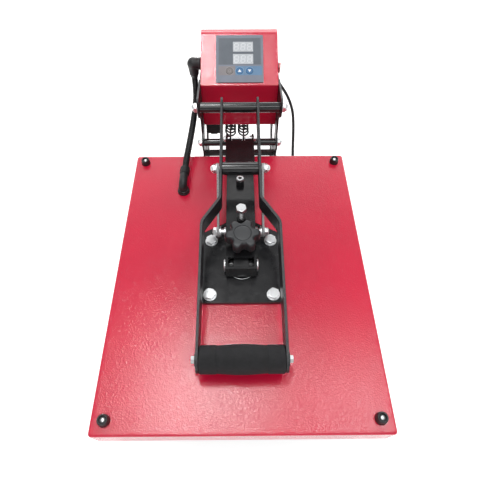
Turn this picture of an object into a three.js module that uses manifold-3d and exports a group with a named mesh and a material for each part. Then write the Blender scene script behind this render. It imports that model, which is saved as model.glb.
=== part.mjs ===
// Flat heat press of the clamshell type: a base with a lower platen, a heating platen under a lift arm,
// a toggle handle with a foam grip, a pressure knob, and a control box on the rear tower.
// Millimetres, +X to the machine's right, +Y to the rear, +Z up. The press is shown closed.
// The working frame has its zero at the middle of the top of the heating platen's cover. The exported
// group moves it so that the origin is on the table under the middle of the machine.
import * as THREE from "three";
import { mergeVertices } from "three/addons/utils/BufferGeometryUtils.js";
import Module from "manifold-3d";

const wasm = await Module();
wasm.setup();

// ---- driving dimensions -------------------------------------------------
const TABLE = 150; // height of the cover's top above the table
const SHIFT_Y = -95.4; // working frame to the exported frame
const COVER = { x: 210, y: 261, skirt: 42, wall: 1.5 };
const PLATE_IN = 74.6; // side plates, inner and outer faces
const PLATE_OUT = 78.0;
const T = [281, 104.3]; // handle's top shaft, as [y, z]
const H = [298, 2]; // lift arm's hinge
const G = [146.6, 83.3]; // toggle shaft
const L = [54.5, 25.5]; // lower link pivot
const K = [-168.4, 35]; // grip axis
const P = [-8, 19]; // front pivot pin
const KNOB = { x: 2.6, y: 23.5 };
const STOP = { x: 0.9, y: 73 };
const BAR = { rearIn: 31.2, frontIn: 60.3, t: 4.0, half: 18.7 };
const LINK = { x0: 36.6, x1: 40.2, r: 9.3 };
const ARM = { x: 25, wall: 4, top: 36 };
const SLOPE = { y: 325, z: 119, y2: 421, z2: 165.5 }; // face of the control box
const BOX = { x: 74, wall: 1.5, z0: 23, y1: 450 };
const BOLTS = [
  [-51, 47],
  [51.5, 47],
  [-50.5, -56],
  [51.5, -56],
];
const ROD = [293.5, 16.5]; // spring rod on the arm
const BACK = [425, -10]; // spring bar on the frame
const SPRING_X = [-19.2, 7.6];

// ---- colours --------------------------------------------------------------
const M = (color, roughness, metalness) =>
  new THREE.MeshStandardMaterial({ color, roughness, metalness });
const RED = () => M(0xc41b34, 0.42, 0.15);
const BLACK = () => M(0x2c2c2f, 0.42, 0.45);
const TUBE = () => M(0x1b1b1d, 0.25, 0.5);
const ZINC = () => M(0xc9ccd0, 0.25, 1.0);
const ALU = () => M(0xa9abae, 0.35, 0.9);
const RUBBER = () => M(0x191919, 0.85, 0.0);
const FOAM = () => M(0x2a2a2d, 0.95, 0.0);
const PLASTIC = () => M(0x4a4c4f, 0.5, 0.0);
const SLATE = () => M(0x808f9e, 0.4, 0.0);

// ---- solids ----------------------------------------------------------------
function solid(geometry, matrix) {
  const g = geometry.clone();
  g.deleteAttribute("normal");
  g.deleteAttribute("uv");
  if (matrix) g.applyMatrix4(matrix);
  const m = mergeVertices(g, 1e-3);
  return new wasm.Manifold(
    new wasm.Mesh({
      numProp: 3,
      vertProperties: new Float32Array(m.attributes.position.array),
      triVerts: new Uint32Array(m.index.array),
    }),
  );
}
function geometryOf(man) {
  const mesh = man.getMesh();
  const g = new THREE.BufferGeometry();
  const p = new Float32Array(mesh.numVert * 3);
  for (let i = 0; i < mesh.numVert; i++)
    for (let k = 0; k < 3; k++)
      p[3 * i + k] = mesh.vertProperties[i * mesh.numProp + k];
  g.setAttribute("position", new THREE.BufferAttribute(p, 3));
  g.setIndex(Array.from(mesh.triVerts));
  const flat = g.toNonIndexed();
  flat.computeVertexNormals();
  return flat;
}
const translate = (x, y, z) => new THREE.Matrix4().makeTranslation(x, y, z);
const box = (x0, x1, y0, y1, z0, z1) =>
  solid(
    new THREE.BoxGeometry(x1 - x0, y1 - y0, z1 - z0),
    translate((x0 + x1) / 2, (y0 + y1) / 2, (z0 + z1) / 2),
  );
function cylX(x0, x1, y, z, r, n = 14, r2 = r) {
  const g = new THREE.CylinderGeometry(r2, r, x1 - x0, n);
  const m = new THREE.Matrix4().makeRotationZ(-Math.PI / 2);
  m.premultiply(translate((x0 + x1) / 2, y, z));
  return solid(g, m);
}
function cylY(x, y0, y1, z, r, n = 14, r2 = r) {
  const g = new THREE.CylinderGeometry(r2, r, y1 - y0, n);
  return solid(g, translate(x, (y0 + y1) / 2, z));
}
function cylZ(x, y, z0, z1, r, n = 14, r2 = r) {
  const g = new THREE.CylinderGeometry(r2, r, z1 - z0, n);
  const m = new THREE.Matrix4().makeRotationX(Math.PI / 2);
  m.premultiply(translate(x, y, (z0 + z1) / 2));
  return solid(g, m);
}
const shapeOf = (pts) =>
  new THREE.Shape(pts.map((p) => new THREE.Vector2(p[0], p[1])));
// A (y, z) outline, extruded along X.
function slabX(pts, x0, x1) {
  const g = new THREE.ExtrudeGeometry(shapeOf(pts), {
    depth: x1 - x0,
    bevelEnabled: false,
    steps: 1,
  });
  const m = new THREE.Matrix4().makeBasis(
    new THREE.Vector3(0, 1, 0),
    new THREE.Vector3(0, 0, 1),
    new THREE.Vector3(1, 0, 0),
  );
  m.premultiply(translate(x0, 0, 0));
  return solid(g, m);
}
// An (x, y) outline, extruded along Z.
function slabZ(pts, z0, z1) {
  const g = new THREE.ExtrudeGeometry(shapeOf(pts), {
    depth: z1 - z0,
    bevelEnabled: false,
    steps: 1,
  });
  return solid(g, translate(0, 0, z0));
}
function roundRect(x0, x1, y0, y1, r, n = 4) {
  const pts = [];
  const corner = (cx, cy, a0) => {
    for (let i = 0; i <= n; i++) {
      const a = a0 + (Math.PI / 2) * (i / n);
      pts.push([cx + r * Math.cos(a), cy + r * Math.sin(a)]);
    }
  };
  corner(x1 - r, y1 - r, 0);
  corner(x0 + r, y1 - r, Math.PI / 2);
  corner(x0 + r, y0 + r, Math.PI);
  corner(x1 - r, y0 + r, 1.5 * Math.PI);
  return pts;
}
// A stadium round two (y, z) points.
function stadium(a, b, r, n = 8) {
  const ang = Math.atan2(b[1] - a[1], b[0] - a[0]);
  const pts = [];
  for (let i = 0; i <= n; i++) {
    const t = ang + Math.PI / 2 + (Math.PI * i) / n;
    pts.push([a[0] + r * Math.cos(t), a[1] + r * Math.sin(t)]);
  }
  for (let i = 0; i <= n; i++) {
    const t = ang - Math.PI / 2 + (Math.PI * i) / n;
    pts.push([b[0] + r * Math.cos(t), b[1] + r * Math.sin(t)]);
  }
  return pts;
}
// A closed section of revolution about an axis along X or Z; pts are [along, radius].
function turned(pts, axis, at, n = 24) {
  const g = new THREE.LatheGeometry(
    pts.map((p) => new THREE.Vector2(p[1], p[0])),
    n,
  );
  const m = new THREE.Matrix4();
  if (axis === "x") m.makeRotationZ(-Math.PI / 2);
  if (axis === "z") m.makeRotationX(Math.PI / 2);
  m.premultiply(translate(at[0], at[1], at[2]));
  const s = solid(g, m);
  if (s.volume() < 0) throw new Error("a turned profile faces inwards");
  return s;
}
// A round section swept along a curve.
function swept(points, r, sides, steps, closedCurve = null) {
  const path =
    closedCurve ||
    new THREE.CatmullRomCurve3(
      points.map((p) => new THREE.Vector3(...p)),
      false,
      "centripetal",
    );
  const pts = [];
  for (let i = 0; i < sides; i++) {
    const a = (2 * Math.PI * i) / sides;
    pts.push(new THREE.Vector2(r * Math.cos(a), r * Math.sin(a)));
  }
  const g = new THREE.ExtrudeGeometry(new THREE.Shape(pts), {
    steps,
    extrudePath: path,
    bevelEnabled: false,
  });
  return solid(g);
}
const hexPts = (cx, cy, af, turn = 0) => {
  const r = af / Math.sqrt(3);
  const pts = [];
  for (let i = 0; i < 6; i++) {
    const a = turn + (Math.PI / 3) * i;
    pts.push([cx + r * Math.cos(a), cy + r * Math.sin(a)]);
  }
  return pts;
};
// A domed nut on an X axis, from x0 outwards in the direction s.
function domedNut(x0, s, y, z, af, flat, dome) {
  const a = Math.min(x0, x0 + s * flat),
    b = Math.max(x0, x0 + s * flat);
  let nut = slabX(hexPts(y, z, af, Math.PI / 6), a, b);
  const r = af / 2 - 0.4;
  const n = 3;
  for (let i = 0; i < n; i++) {
    const t0 = (Math.PI / 2) * (i / n),
      t1 = (Math.PI / 2) * ((i + 1) / n);
    const xa = x0 + s * (flat - 0.2 + dome * Math.sin(t0)),
      xb = x0 + s * (flat - 0.2 + dome * Math.sin(t1));
    const ra = r * Math.cos(t0),
      rb = Math.max(r * Math.cos(t1), 0.8);
    nut = nut.add(
      s > 0 ? cylX(xa, xb, y, z, ra, 12, rb) : cylX(xb, xa, y, z, rb, 12, ra),
    );
  }
  return nut;
}

const press = new THREE.Group();
const machine = new THREE.Group();
machine.position.set(0, SHIFT_Y, TABLE);
press.add(machine);
const add = (name, man, material, parent = machine) => {
  const mesh = new THREE.Mesh(geometryOf(man), material);
  mesh.name = name;
  parent.add(mesh);
  return mesh;
};

// ---- base and rear tower ---------------------------------------------------
const frameOutline = [
  [-236, -132],
  [-236, -113],
  [-225, -100],
  [268, -100],
  [283, -86],
  [290, -45],
  [290, -16],
  [284, -6],
  [283.5, 6],
  [288, 14],
  [299, 24],
  [301, 58],
  [282, 84],
  [269, 90],
  [265, 98],
  [264, 112],
  [266, 127],
  [271, 131],
  [343, 120],
  [349, 109],
  [428, 106],
  [437, 98],
  [437, -62],
  [392, -132],
];
const windowOutline = [
  [330, -52],
  [388, -70],
  [404, -58],
  [404, 4],
  [398, 10],
  [334, 10],
  [328, 4],
];
for (const s of [-1, 1]) {
  const a = s < 0 ? -PLATE_OUT : PLATE_IN,
    b = s < 0 ? -PLATE_IN : PLATE_OUT;
  let plate = slabX(frameOutline, a, b);
  plate = plate.subtract(slabX(windowOutline, a - 1, b + 1));
  plate = plate.subtract(
    slabX(
      [
        [320, -88],
        [378, -88],
        [396, -100],
        [376, -120],
        [320, -120],
      ],
      a - 1,
      b + 1,
    ),
  );
  // the foot flange, bent outwards at the bottom
  const f = [s * (PLATE_IN + 0.1), s * 112].sort((p, q) => p - q);
  plate = plate.add(
    box(f[0], f[1], -236, 388, -132, -128.6),
  );
  plate = plate
    .subtract(cylX(a - 1, b + 1, T[0], T[1], 6.4))
    .subtract(cylX(a - 1, b + 1, H[0], H[1], 5.9))
    .subtract(cylX(a - 1, b + 1, BACK[0], BACK[1], 3.9, 16));
  for (const y of [-205, 296])
    plate = plate.subtract(cylZ(s * 94, y, -140, -120, 3.4, 12));
  add(s < 0 ? "side_frame_left" : "side_frame_right", plate, BLACK());
}
for (const [name, y] of [
  ["cross_tube_front", -150],
  ["cross_tube_rear", 150],
]) {
  const tube = box(-165, 165, y - 15, y + 15, -99.7, -69.4).subtract(
    box(-170, 170, y - 12.5, y + 12.5, -97.2, -71.9),
  );
  add(name, tube, BLACK());
}
let foot = 0;
for (const [x, y] of [
  [-94, -205],
  [94, -205],
  [-94, 296],
  [94, 296],
]) {
  foot += 1;
  add(
    "rubber_foot_" + foot,
    turned(
      [
        [-150, 0],
        [-150, 16.5],
        [-148.6, 18],
        [-132.3, 14.5],
        [-132.3, 4],
        [-138, 4],
        [-138, 0],
      ],
      "z",
      [x, y, 0],
      16,
    ),
    RUBBER(),
  );
}
add("tie_bar", box(-74.3, 74.3, 301, 311, -41, -31), BLACK());
add(
  "lower_platen",
  slabZ(roundRect(-205, 205, -255, 255, 8, 3), -69.1, -61.1),
  BLACK(),
);
add(
  "silicone_pad",
  slabZ(roundRect(-200, 200, -250, 250, 6, 3), -60.8, -52.8),
  M(0xb9572f, 0.85, 0),
);

// ---- shafts of the tower ---------------------------------------------------
{
  let shaft = cylX(-80, 80, T[0], T[1], 6);
  shaft = shaft
    .add(domedNut(PLATE_OUT + 0.4, 1, T[0], T[1], 17, 6, 6.5))
    .add(domedNut(-PLATE_OUT - 0.4, -1, T[0], T[1], 17, 6, 6.5));
  add("top_shaft", shaft, ZINC());
  const ro = BAR.rearIn + BAR.t;
  for (const [name, a, b] of [
    ["top_spacer_left", -PLATE_IN + 0.3, -ro - 0.3],
    ["top_spacer_middle", -BAR.rearIn + 0.3, BAR.rearIn - 0.3],
    ["top_spacer_right", ro + 0.3, PLATE_IN - 0.3],
  ])
    add(
      name,
      cylX(a, b, T[0], T[1], 9.6, 18).subtract(
        cylX(a - 1, b + 1, T[0], T[1], 6.35),
      ),
      TUBE(),
    );
  let hinge = cylX(-80, 80, H[0], H[1], 5.5);
  hinge = hinge
    .add(domedNut(PLATE_OUT + 0.4, 1, H[0], H[1], 15, 5, 5.5))
    .add(domedNut(-PLATE_OUT - 0.4, -1, H[0], H[1], 15, 5, 5.5));
  add("hinge_shaft", hinge, ZINC());
  for (const [name, a, b] of [
    ["hinge_spacer_left", -PLATE_IN + 0.3, -28.8],
    ["hinge_spacer_right", 28.8, PLATE_IN - 0.3],
  ])
    add(
      name,
      cylX(a, b, H[0], H[1], 7.6, 16).subtract(
        cylX(a - 1, b + 1, H[0], H[1], 5.85),
      ),
      TUBE(),
    );
  add(
    "spring_bar",
    cylX(-77.7, 77.7, BACK[0], BACK[1], 3.5, 14),
    ZINC(),
  );
}

// ---- control box -------------------------------------------------------------
const boxOuter = [
  [325, 26],
  [328, 23],
  [450, 23],
  [450, 150],
  [447.4, 157],
  [441.5, 162.8],
  [434, 166],
  [423.5, 166.5],
  [420, 165],
  [326, 119.5],
  [325, 117.5],
];
const w = BOX.wall;
const boxInner = [
  [325 + w, 26.5],
  [328.5, 23 + w],
  [456, 23 + w],
  [456, 148.5],
  [448.5, 148.5],
  [446, 156],
  [440.6, 161.4],
  [433.6, 164.4],
  [424, 164.9],
  [420.8, 163.7],
  [327.3, 118.4],
  [325 + w, 117],
];
const phi = Math.atan2(SLOPE.z2 - SLOPE.z, SLOPE.y2 - SLOPE.y);
const slopeMatrix = new THREE.Matrix4()
  .makeRotationX(phi)
  .premultiply(translate(0, SLOPE.y, SLOPE.z));
// Pieces on the sloping face are placed in the face's own frame: x, v up the slope, n out of it.
const onSlope = (man) => {
  const g = geometryOf(man);
  g.applyMatrix4(slopeMatrix);
  return solid(g);
};
{
  let shell = slabX(boxOuter, -BOX.x, BOX.x).subtract(
    slabX(boxInner, -BOX.x + w, BOX.x - w),
  );
  shell = shell.subtract(onSlope(box(-38, 39, 14, 96, -6, 4)));
  shell = shell.subtract(cylX(-80, -70, 386, 125.5, 6.5, 16));
  shell = shell.subtract(box(70, 80, 366, 388, 114, 129));
  add("control_box_case", shell, RED());
  let rear = slabX(
    [
      [450.3, 23.5],
      [451.8, 23.5],
      [451.8, 149.5],
      [450.3, 149.5],
    ],
    -73.5,
    73.5,
  );
  rear = rear.subtract(cylY(55, 440, 460, 45, 6.2, 16));
  for (let i = 0; i < 5; i++)
    rear = rear.subtract(
      box(-45, -5, 448, 455, 100 + i * 9, 103.5 + i * 9),
    );
  add("control_box_rear_cover", rear, RED());
}
const PANEL = { x0: -44.4, x1: 45.6, v0: 5.6, v1: 101.8, n0: 0.3, n1: 2.3 };
const KEYS = [
  ["set_button", -18.8],
  ["up_button", 0.3],
  ["down_button", 19.3],
];
const KEY_V = 28.6;
{
  let panel = slabZ(
    roundRect(PANEL.x0, PANEL.x1, PANEL.v0, PANEL.v1, 2, 3),
    PANEL.n0,
    PANEL.n1,
  );
  panel = panel
    .subtract(box(-12.2, 26.6, 42.5, 63.6, PANEL.n1 - 0.6, 5))
    .subtract(box(-12.2, 26.6, 67.8, 88.6, PANEL.n1 - 0.6, 5));
  for (const [, x] of KEYS)
    panel = panel.subtract(cylZ(x, KEY_V, -2, 5, 7.3, 18));
  add("control_panel", onSlope(panel), SLATE());
  for (const [name, x] of KEYS) {
    const key = cylZ(x, KEY_V, -0.2, 3.0, 6.9, 18).add(
      cylZ(x, KEY_V, -1.6, 0.0, 8.4, 12),
    );
    add(
      name,
      onSlope(key),
      name === "set_button" ? M(0x96918f, 0.5, 0) : M(0x5a82aa, 0.5, 0),
    );
  }
  add("solid_state_relay", box(-42, 3, 372, 430, 24.9, 47), PLASTIC());
  add(
    "limit_switch",
    box(-70.5, -41, 331, 350, -3, 22.6).add(box(-62, -48, 334, 347, -8, -2)),
    PLASTIC(),
  );
}
{
  // rocker switch on the right side, stored with its front end in
  let bezel = slabX(
    [
      [363, 112],
      [391, 112],
      [391, 131],
      [363, 131],
    ],
    74.3,
    76.2,
  );
  bezel = bezel.add(box(58, 74.8, 366.6, 387.4, 114.6, 128.4));
  bezel = bezel.subtract(box(60, 80, 367.8, 386.2, 115.8, 127.2));
  add("rocker_bezel", bezel, M(0x151515, 0.5, 0));
  const rock = [
    [-8.4, -3],
    [8.4, -3],
    [8.6, 5.4],
    [0, 3.4],
    [-8.6, 5.4],
  ];
  const g = new THREE.ExtrudeGeometry(shapeOf(rock), {
    depth: 10.6,
    bevelEnabled: false,
    steps: 1,
  });
  const m = new THREE.Matrix4().makeBasis(
    new THREE.Vector3(0, 1, 0),
    new THREE.Vector3(1, 0, 0),
    new THREE.Vector3(0, 0, -1),
  );
  m.premultiply(translate(0, 0, 5.3));
  m.premultiply(new THREE.Matrix4().makeRotationZ((-9 * Math.PI) / 180));
  m.premultiply(translate(75.2, 377, 121.5));
  add("rocker_switch", solid(g, m), M(0xb01020, 0.3, 0));
}

// ---- conduit from the box to the cover ---------------------------------------
{
  let up = cylX(-90, -74.4, 386, 125.5, 11.2, 14)
    .add(
      solid(
        new THREE.SphereGeometry(12, 12, 8),
        translate(-90.5, 386, 125.5),
      ),
    )
    .add(cylZ(-90.5, 386, 104, 125, 9.6, 14, 11.6))
    .add(cylZ(-90.5, 386, 97.5, 104.1, 7.8, 14, 9.6));
  up = up.add(cylX(-74.8, -70, 386, 125.5, 6.1, 16));
  add("upper_hose_elbow", up, RUBBER());
  let low = cylZ(-108.6, 166.5, 0.3, 4, 11.5, 16)
    .add(cylZ(-108.6, 166.5, 3.8, 13, 8, 14))
    .add(
      swept(
        [
          [-108.6, 166.5, 11],
          [-108.5, 168.5, 17],
          [-108, 176, 20.5],
          [-106.6, 196, 21.2],
        ],
        8,
        12,
        6,
      ),
    );
  const ferrule = swept(
    [
      [-106.9, 192, 21.1],
      [-106, 207, 21.4],
    ],
    9.6,
    14,
    1,
  );
  low = low.add(ferrule);
  low = low.add(cylZ(-108.6, 166.5, -1, 0.6, 4.6, 16));
  add("lower_hose_elbow", low, RUBBER());
  add(
    "heater_hose",
    swept(
      [
        [-90.5, 386, 96.6],
        [-90.6, 384.4, 80],
        [-91.2, 372, 56.5],
        [-94, 343, 40],
        [-97.5, 302, 32.5],
        [-101.5, 256, 29],
        [-104.5, 228, 25],
        [-105.8, 209, 21.9],
      ],
      6.4,
      8,
      26,
    ),
    RUBBER(),
  );
}

// ---- power cord ------------------------------------------------------------
{
  add(
    "cord_gland",
    cylY(55, 452.1, 455, 45, 11, 18)
      .add(cylY(55, 454.8, 464, 45, 8.5, 18, 6.5))
      .add(cylY(55, 448, 452.4, 45, 5.8, 16)),
    RUBBER(),
  );
  add(
    "power_cord",
    swept(
      [
        [55, 465, 45],
        [55.7, 473.5, 44.4],
        [58.4, 482.4, 41.7],
        [63, 489.7, 37.3],
        [69, 494.7, 31.6],
        [75.8, 496.9, 25],
        [89, 494.8, 11.6],
        [100.7, 488.6, -2.8],
        [112, 480, -15.8],
        [121.5, 469.5, -31],
        [129, 457.8, -50],
        [132.8, 443.5, -77],
        [134.2, 426.8, -106],
        [134.4, 409, -129],
        [134.2, 391, -142.4],
        [134, 376, -146],
        [134, 363, -146.3],
        [134, 350.8, -146.3],
      ],
      3.5,
      8,
      44,
    ),
    RUBBER(),
  );
  const coil = new THREE.LatheGeometry(
    [
      [24, -149.6],
      [42, -149.6],
      [44.5, -147],
      [44.5, -134],
      [42, -131.5],
      [24, -131.5],
      [21.5, -134],
      [21.5, -147],
      [24, -149.6],
    ].map((p) => new THREE.Vector2(p[0], p[1])),
    20,
  );
  const m = new THREE.Matrix4().makeRotationX(Math.PI / 2);
  m.premultiply(translate(175, 326, 0));
  add("cord_coil", solid(coil, m), RUBBER());
  const plug = slabZ(roundRect(126, 156, 247.5, 285.4, 9, 3), -149.7, -132)
    .add(box(132.5, 134.5, 229.5, 248.5, -144, -139))
    .add(box(147.5, 149.5, 229.5, 248.5, -144, -139))
    .add(cylY(141, 284.5, 292, -141, 4.5, 12));
  add("power_plug", plug, RUBBER());
}

// ---- lift arm ------------------------------------------------------------------
{
  const outer = [
    [-24.4, 10],
    [140, 9],
    [264, 3],
    [269, -9],
    [275, -13],
    [304, -13],
    [312, -5],
    [312, 8],
    [300, 17.3],
    [284, 19],
    [127, ARM.top],
    [-24.4, ARM.top],
  ];
  const inner = [
    [-30, 0],
    [330, -30],
    [330, 14],
    [284, 14.9],
    [126.5, 32],
    [-30, 32],
  ];
  const inX = ARM.x - ARM.wall;
  let arm = slabX(outer, -ARM.x, ARM.x).subtract(slabX(inner, -inX, inX));
  arm = arm.subtract(box(-inX, inX, 289.4, 330, -20, 40));
  // notches for the spring hooks
  for (const x of SPRING_X)
    arm = arm.subtract(box(Math.max(x - 3.4, -inX), x + 3.4, 284.6, 290, 5, 40));
  // closed front end with an opening behind it
  arm = arm
    .add(box(-inX - 0.2, inX + 0.2, -24.4, -19.9, 10, 33))
    .subtract(box(-inX, inX, -19.9, -3, 30, 40));
  const cheek = [
    [221, 8],
    [213, 23],
    [217, 27.2],
    [285, 22.8],
    [300, 22.6],
    [307, 17],
    [312, 9],
    [312, -5],
    [304, -13],
    [275, -13],
    [269, -9],
    [264, 3],
  ];
  arm = arm
    .add(slabX(cheek, ARM.x - 0.2, ARM.x + 3.5))
    .add(slabX(cheek, -ARM.x - 3.5, -ARM.x + 0.2));
  arm = arm
    .subtract(cylX(-40, 40, H[0], H[1], 5.9))
    .subtract(cylX(-40, 40, ROD[0], ROD[1], 3.9, 16))
    .subtract(cylX(-40, 40, L[0], L[1], 5.3));
  // slots for the front pivot pin
  arm = arm.subtract(slabX(stadium([P[0], P[1]], [P[0], P[1] + 3.6], 5.6), -40, 40));
  // holes for the screw and the stop bolt
  arm = arm
    .subtract(cylZ(KNOB.x, KNOB.y, 20, 50, 7.4, 20))
    .subtract(cylZ(STOP.x, STOP.y, 20, 50, 4.4, 16));
  add("lift_arm", arm, BLACK());
  let rod = cylX(-34, 34, ROD[0], ROD[1], 3.5, 14);
  rod = rod
    .add(slabX(hexPts(ROD[0], ROD[1], 11), 28.9, 33))
    .add(slabX(hexPts(ROD[0], ROD[1], 11), -33, -28.9));
  add("spring_rod", rod, ZINC());
  // trunnion of the lower link pivot, with its two collars
  let pin = cylX(-36.2, 36.2, L[0], L[1], 5);
  pin = pin
    .add(cylX(25.4, 28.4, L[0], L[1], 8.2))
    .add(cylX(-28.4, -25.4, L[0], L[1], 8.2))
    .add(cylX(33.6, 36.2, L[0], L[1], 9.4))
    .add(cylX(-36.2, -33.6, L[0], L[1], 9.4));
  add("link_trunnion", pin, ZINC());
  // stop bolt with its lock nut
  let bolt = cylZ(STOP.x, STOP.y, 27, 63.5, 4, 16)
    .add(slabZ(hexPts(STOP.x, STOP.y, 16, 0.15), 62.6, 69.4))
    .add(slabZ(hexPts(STOP.x, STOP.y, 13, 0.4), 36.3, 41.5));
  add("stop_bolt", bolt, ZINC());
}

// ---- springs ---------------------------------------------------------------
class SpringCurve extends THREE.Curve {
  constructor(x) {
    super();
    const a = new THREE.Vector3(0, BACK[0] - ROD[0], BACK[1] - ROD[1]);
    const len = a.length();
    a.normalize();
    const p = new THREE.Vector3(0, -a.z, a.y);
    const o = new THREE.Vector3(x, ROD[0], ROD[1]);
    const at = (s, q, r) =>
      o
        .clone()
        .addScaledVector(a, s)
        .addScaledVector(p, q)
        .add(new THREE.Vector3(r, 0, 0));
    const pts = [];
    for (const t of [-40, -90, -140, 170, 120, 70])
      pts.push(
        at(
          5.8 * Math.cos((t * Math.PI) / 180),
          5.8 * Math.sin((t * Math.PI) / 180),
          0,
        ),
      );
    const s0 = 22.7,
      s1 = len - 16,
      turns = 8,
      R = 10.2,
      n = turns * 8;
    pts.push(at(12, 7.4, 0.4));
    for (let i = 0; i <= n; i++) {
      const f = (2 * Math.PI * turns * i) / n;
      pts.push(
        at(s0 + ((s1 - s0) * i) / n, R * Math.cos(f), R * Math.sin(f)),
      );
    }
    pts.push(at(len - 10, 7.6, -0.4));
    for (const t of [110, 60, 10, -40, -90, -140])
      pts.push(
        at(
          len + 5.8 * Math.cos((t * Math.PI) / 180),
          5.8 * Math.sin((t * Math.PI) / 180),
          0,
        ),
      );
    this.pts = pts;
    this.inner = new THREE.CatmullRomCurve3(pts, false, "centripetal");
  }
  getPoint(t, target = new THREE.Vector3()) {
    return this.inner.getPoint(t, target);
  }
  getPointAt(t, target) {
    return this.inner.getPoint(t, target);
  }
  getTangentAt(t, target) {
    return this.inner.getTangent(t, target);
  }
}
for (const [name, x] of [
  ["spring_left", SPRING_X[0]],
  ["spring_right", SPRING_X[1]],
]) {
  const c = new SpringCurve(x);
  add(name, swept(null, 1.7, 4, c.pts.length - 1, c), M(0x202022, 0.35, 0.7));
}

// ---- pressure adjustment --------------------------------------------------
{
  const star = [];
  const n = 72;
  for (let i = 0; i < n; i++) {
    const a = (2 * Math.PI * i) / n;
    const c = Math.cos(6 * (a - 0.105));
    const r = 24.9 + 4.4 * Math.tanh(1.5 * c + 0.1);
    star.push([r * Math.cos(a), r * Math.sin(a)]);
  }
  const g = new THREE.ExtrudeGeometry(shapeOf(star), {
    depth: 15,
    bevelEnabled: true,
    bevelThickness: 3,
    bevelSize: 2.4,
    bevelOffset: -2.4,
    bevelSegments: 1,
    steps: 1,
  });
  let knob = solid(g, translate(KNOB.x, KNOB.y, 50));
  knob = knob.add(cylZ(KNOB.x, KNOB.y, 39, 50, 11.5, 18, 14));
  // ring groove round the cap
  const ring = cylZ(KNOB.x, KNOB.y, 66.8, 70, 14.6, 24).subtract(
    cylZ(KNOB.x, KNOB.y, 66, 71, 13.7, 24),
  );
  knob = knob.subtract(ring);
  knob = knob.subtract(cylZ(KNOB.x, KNOB.y, 30, 58, 7.3, 20));
  add("pressure_knob", knob, PLASTIC());
  let screw = cylZ(KNOB.x, KNOB.y, 10.6, 57.5, 7, 20);
  add("pressure_screw", screw, ZINC());
  let block = box(-12.2, 12.2, -19, 41, 8.5, 27.4);
  block = block
    .subtract(cylZ(KNOB.x, KNOB.y, 0, 40, 7.35, 20))
    .subtract(cylX(-30, 30, P[0], P[1], 5.35));
  add("pressure_block", block, ZINC());
  let pin = cylX(-26, 26, P[0], P[1], 5)
    .add(cylX(25.5, 28.3, P[0], P[1], 10.5, 18))
    .add(cylX(-28.3, -25.5, P[0], P[1], 10.5, 18));
  add("front_pivot_pin", pin, ZINC());
}

// ---- heating platen -----------------------------------------------------------
{
  const outline = [
    [-62.6, -69.5],
    [62.8, -69.5],
    [64.6, -67.7],
    [66, 62],
    [64, 66.5],
    [27.5, 86.5],
    [-27.5, 86.5],
    [-64, 66.5],
    [-66, 62],
    [-64.4, -67.7],
  ];
  let plate = slabZ(outline, 0.3, 6.3);
  const ear = [
    ...stadium([P[0], P[1]], [P[0], P[1] + 0.01], 8.2).map((p) => p),
  ];
  for (const s of [-1, 1]) {
    const a = s < 0 ? -18.4 : 13.2,
      b = s < 0 ? -13.2 : 18.4;
    plate = plate
      .add(slabX(ear, a, b))
      .add(
        slabX(
          [
            [P[0] - 12, 6],
            [P[0] + 12, 6],
            [P[0] + 8.1, P[1]],
            [P[0] - 8.1, P[1]],
          ],
          a,
          b,
        ),
      );
  }
  plate = plate.subtract(cylX(-30, 30, P[0], P[1], 5.35));
  for (const [x, y] of BOLTS)
    plate = plate.subtract(cylZ(x, y, -2, 10, 5.3, 16));
  add("mounting_plate", plate, BLACK());
  let cover = slabZ(
    roundRect(-COVER.x, COVER.x, -COVER.y, COVER.y, 3.5, 3),
    -COVER.skirt,
    0,
  ).subtract(
    slabZ(
      roundRect(
        -COVER.x + w,
        COVER.x - w,
        -COVER.y + w,
        COVER.y - w,
        2.2,
        2,
      ),
      -COVER.skirt - 1,
      -w,
    ),
  );
  for (const [x, y] of BOLTS)
    cover = cover.subtract(cylZ(x, y, -5, 2, 5.3, 16));
  cover = cover.subtract(cylZ(-108.6, 166.5, -5, 2, 5, 16));
  add("heater_cover", cover, RED());
  let hot = slabZ(
    roundRect(-207.8, 207.8, -258.8, 258.8, 3, 2),
    -52.4,
    -37.5,
  );
  for (const [x, y] of BOLTS)
    hot = hot.subtract(cylZ(x, y, -46, -30, 5.2, 16));
  add("heating_platen", hot, ALU());
  let i = 0;
  for (const [x, y] of BOLTS) {
    i += 1;
    let b = cylZ(x, y, -45, 7, 4.8, 16)
      .add(slabZ(hexPts(x, y, 17, 0.2 * i), 7.9, 14))
      .add(cylZ(x, y, 6.6, 8, 10.6, 16));
    add("mounting_bolt_" + i, b, ZINC());
  }
}

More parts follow.
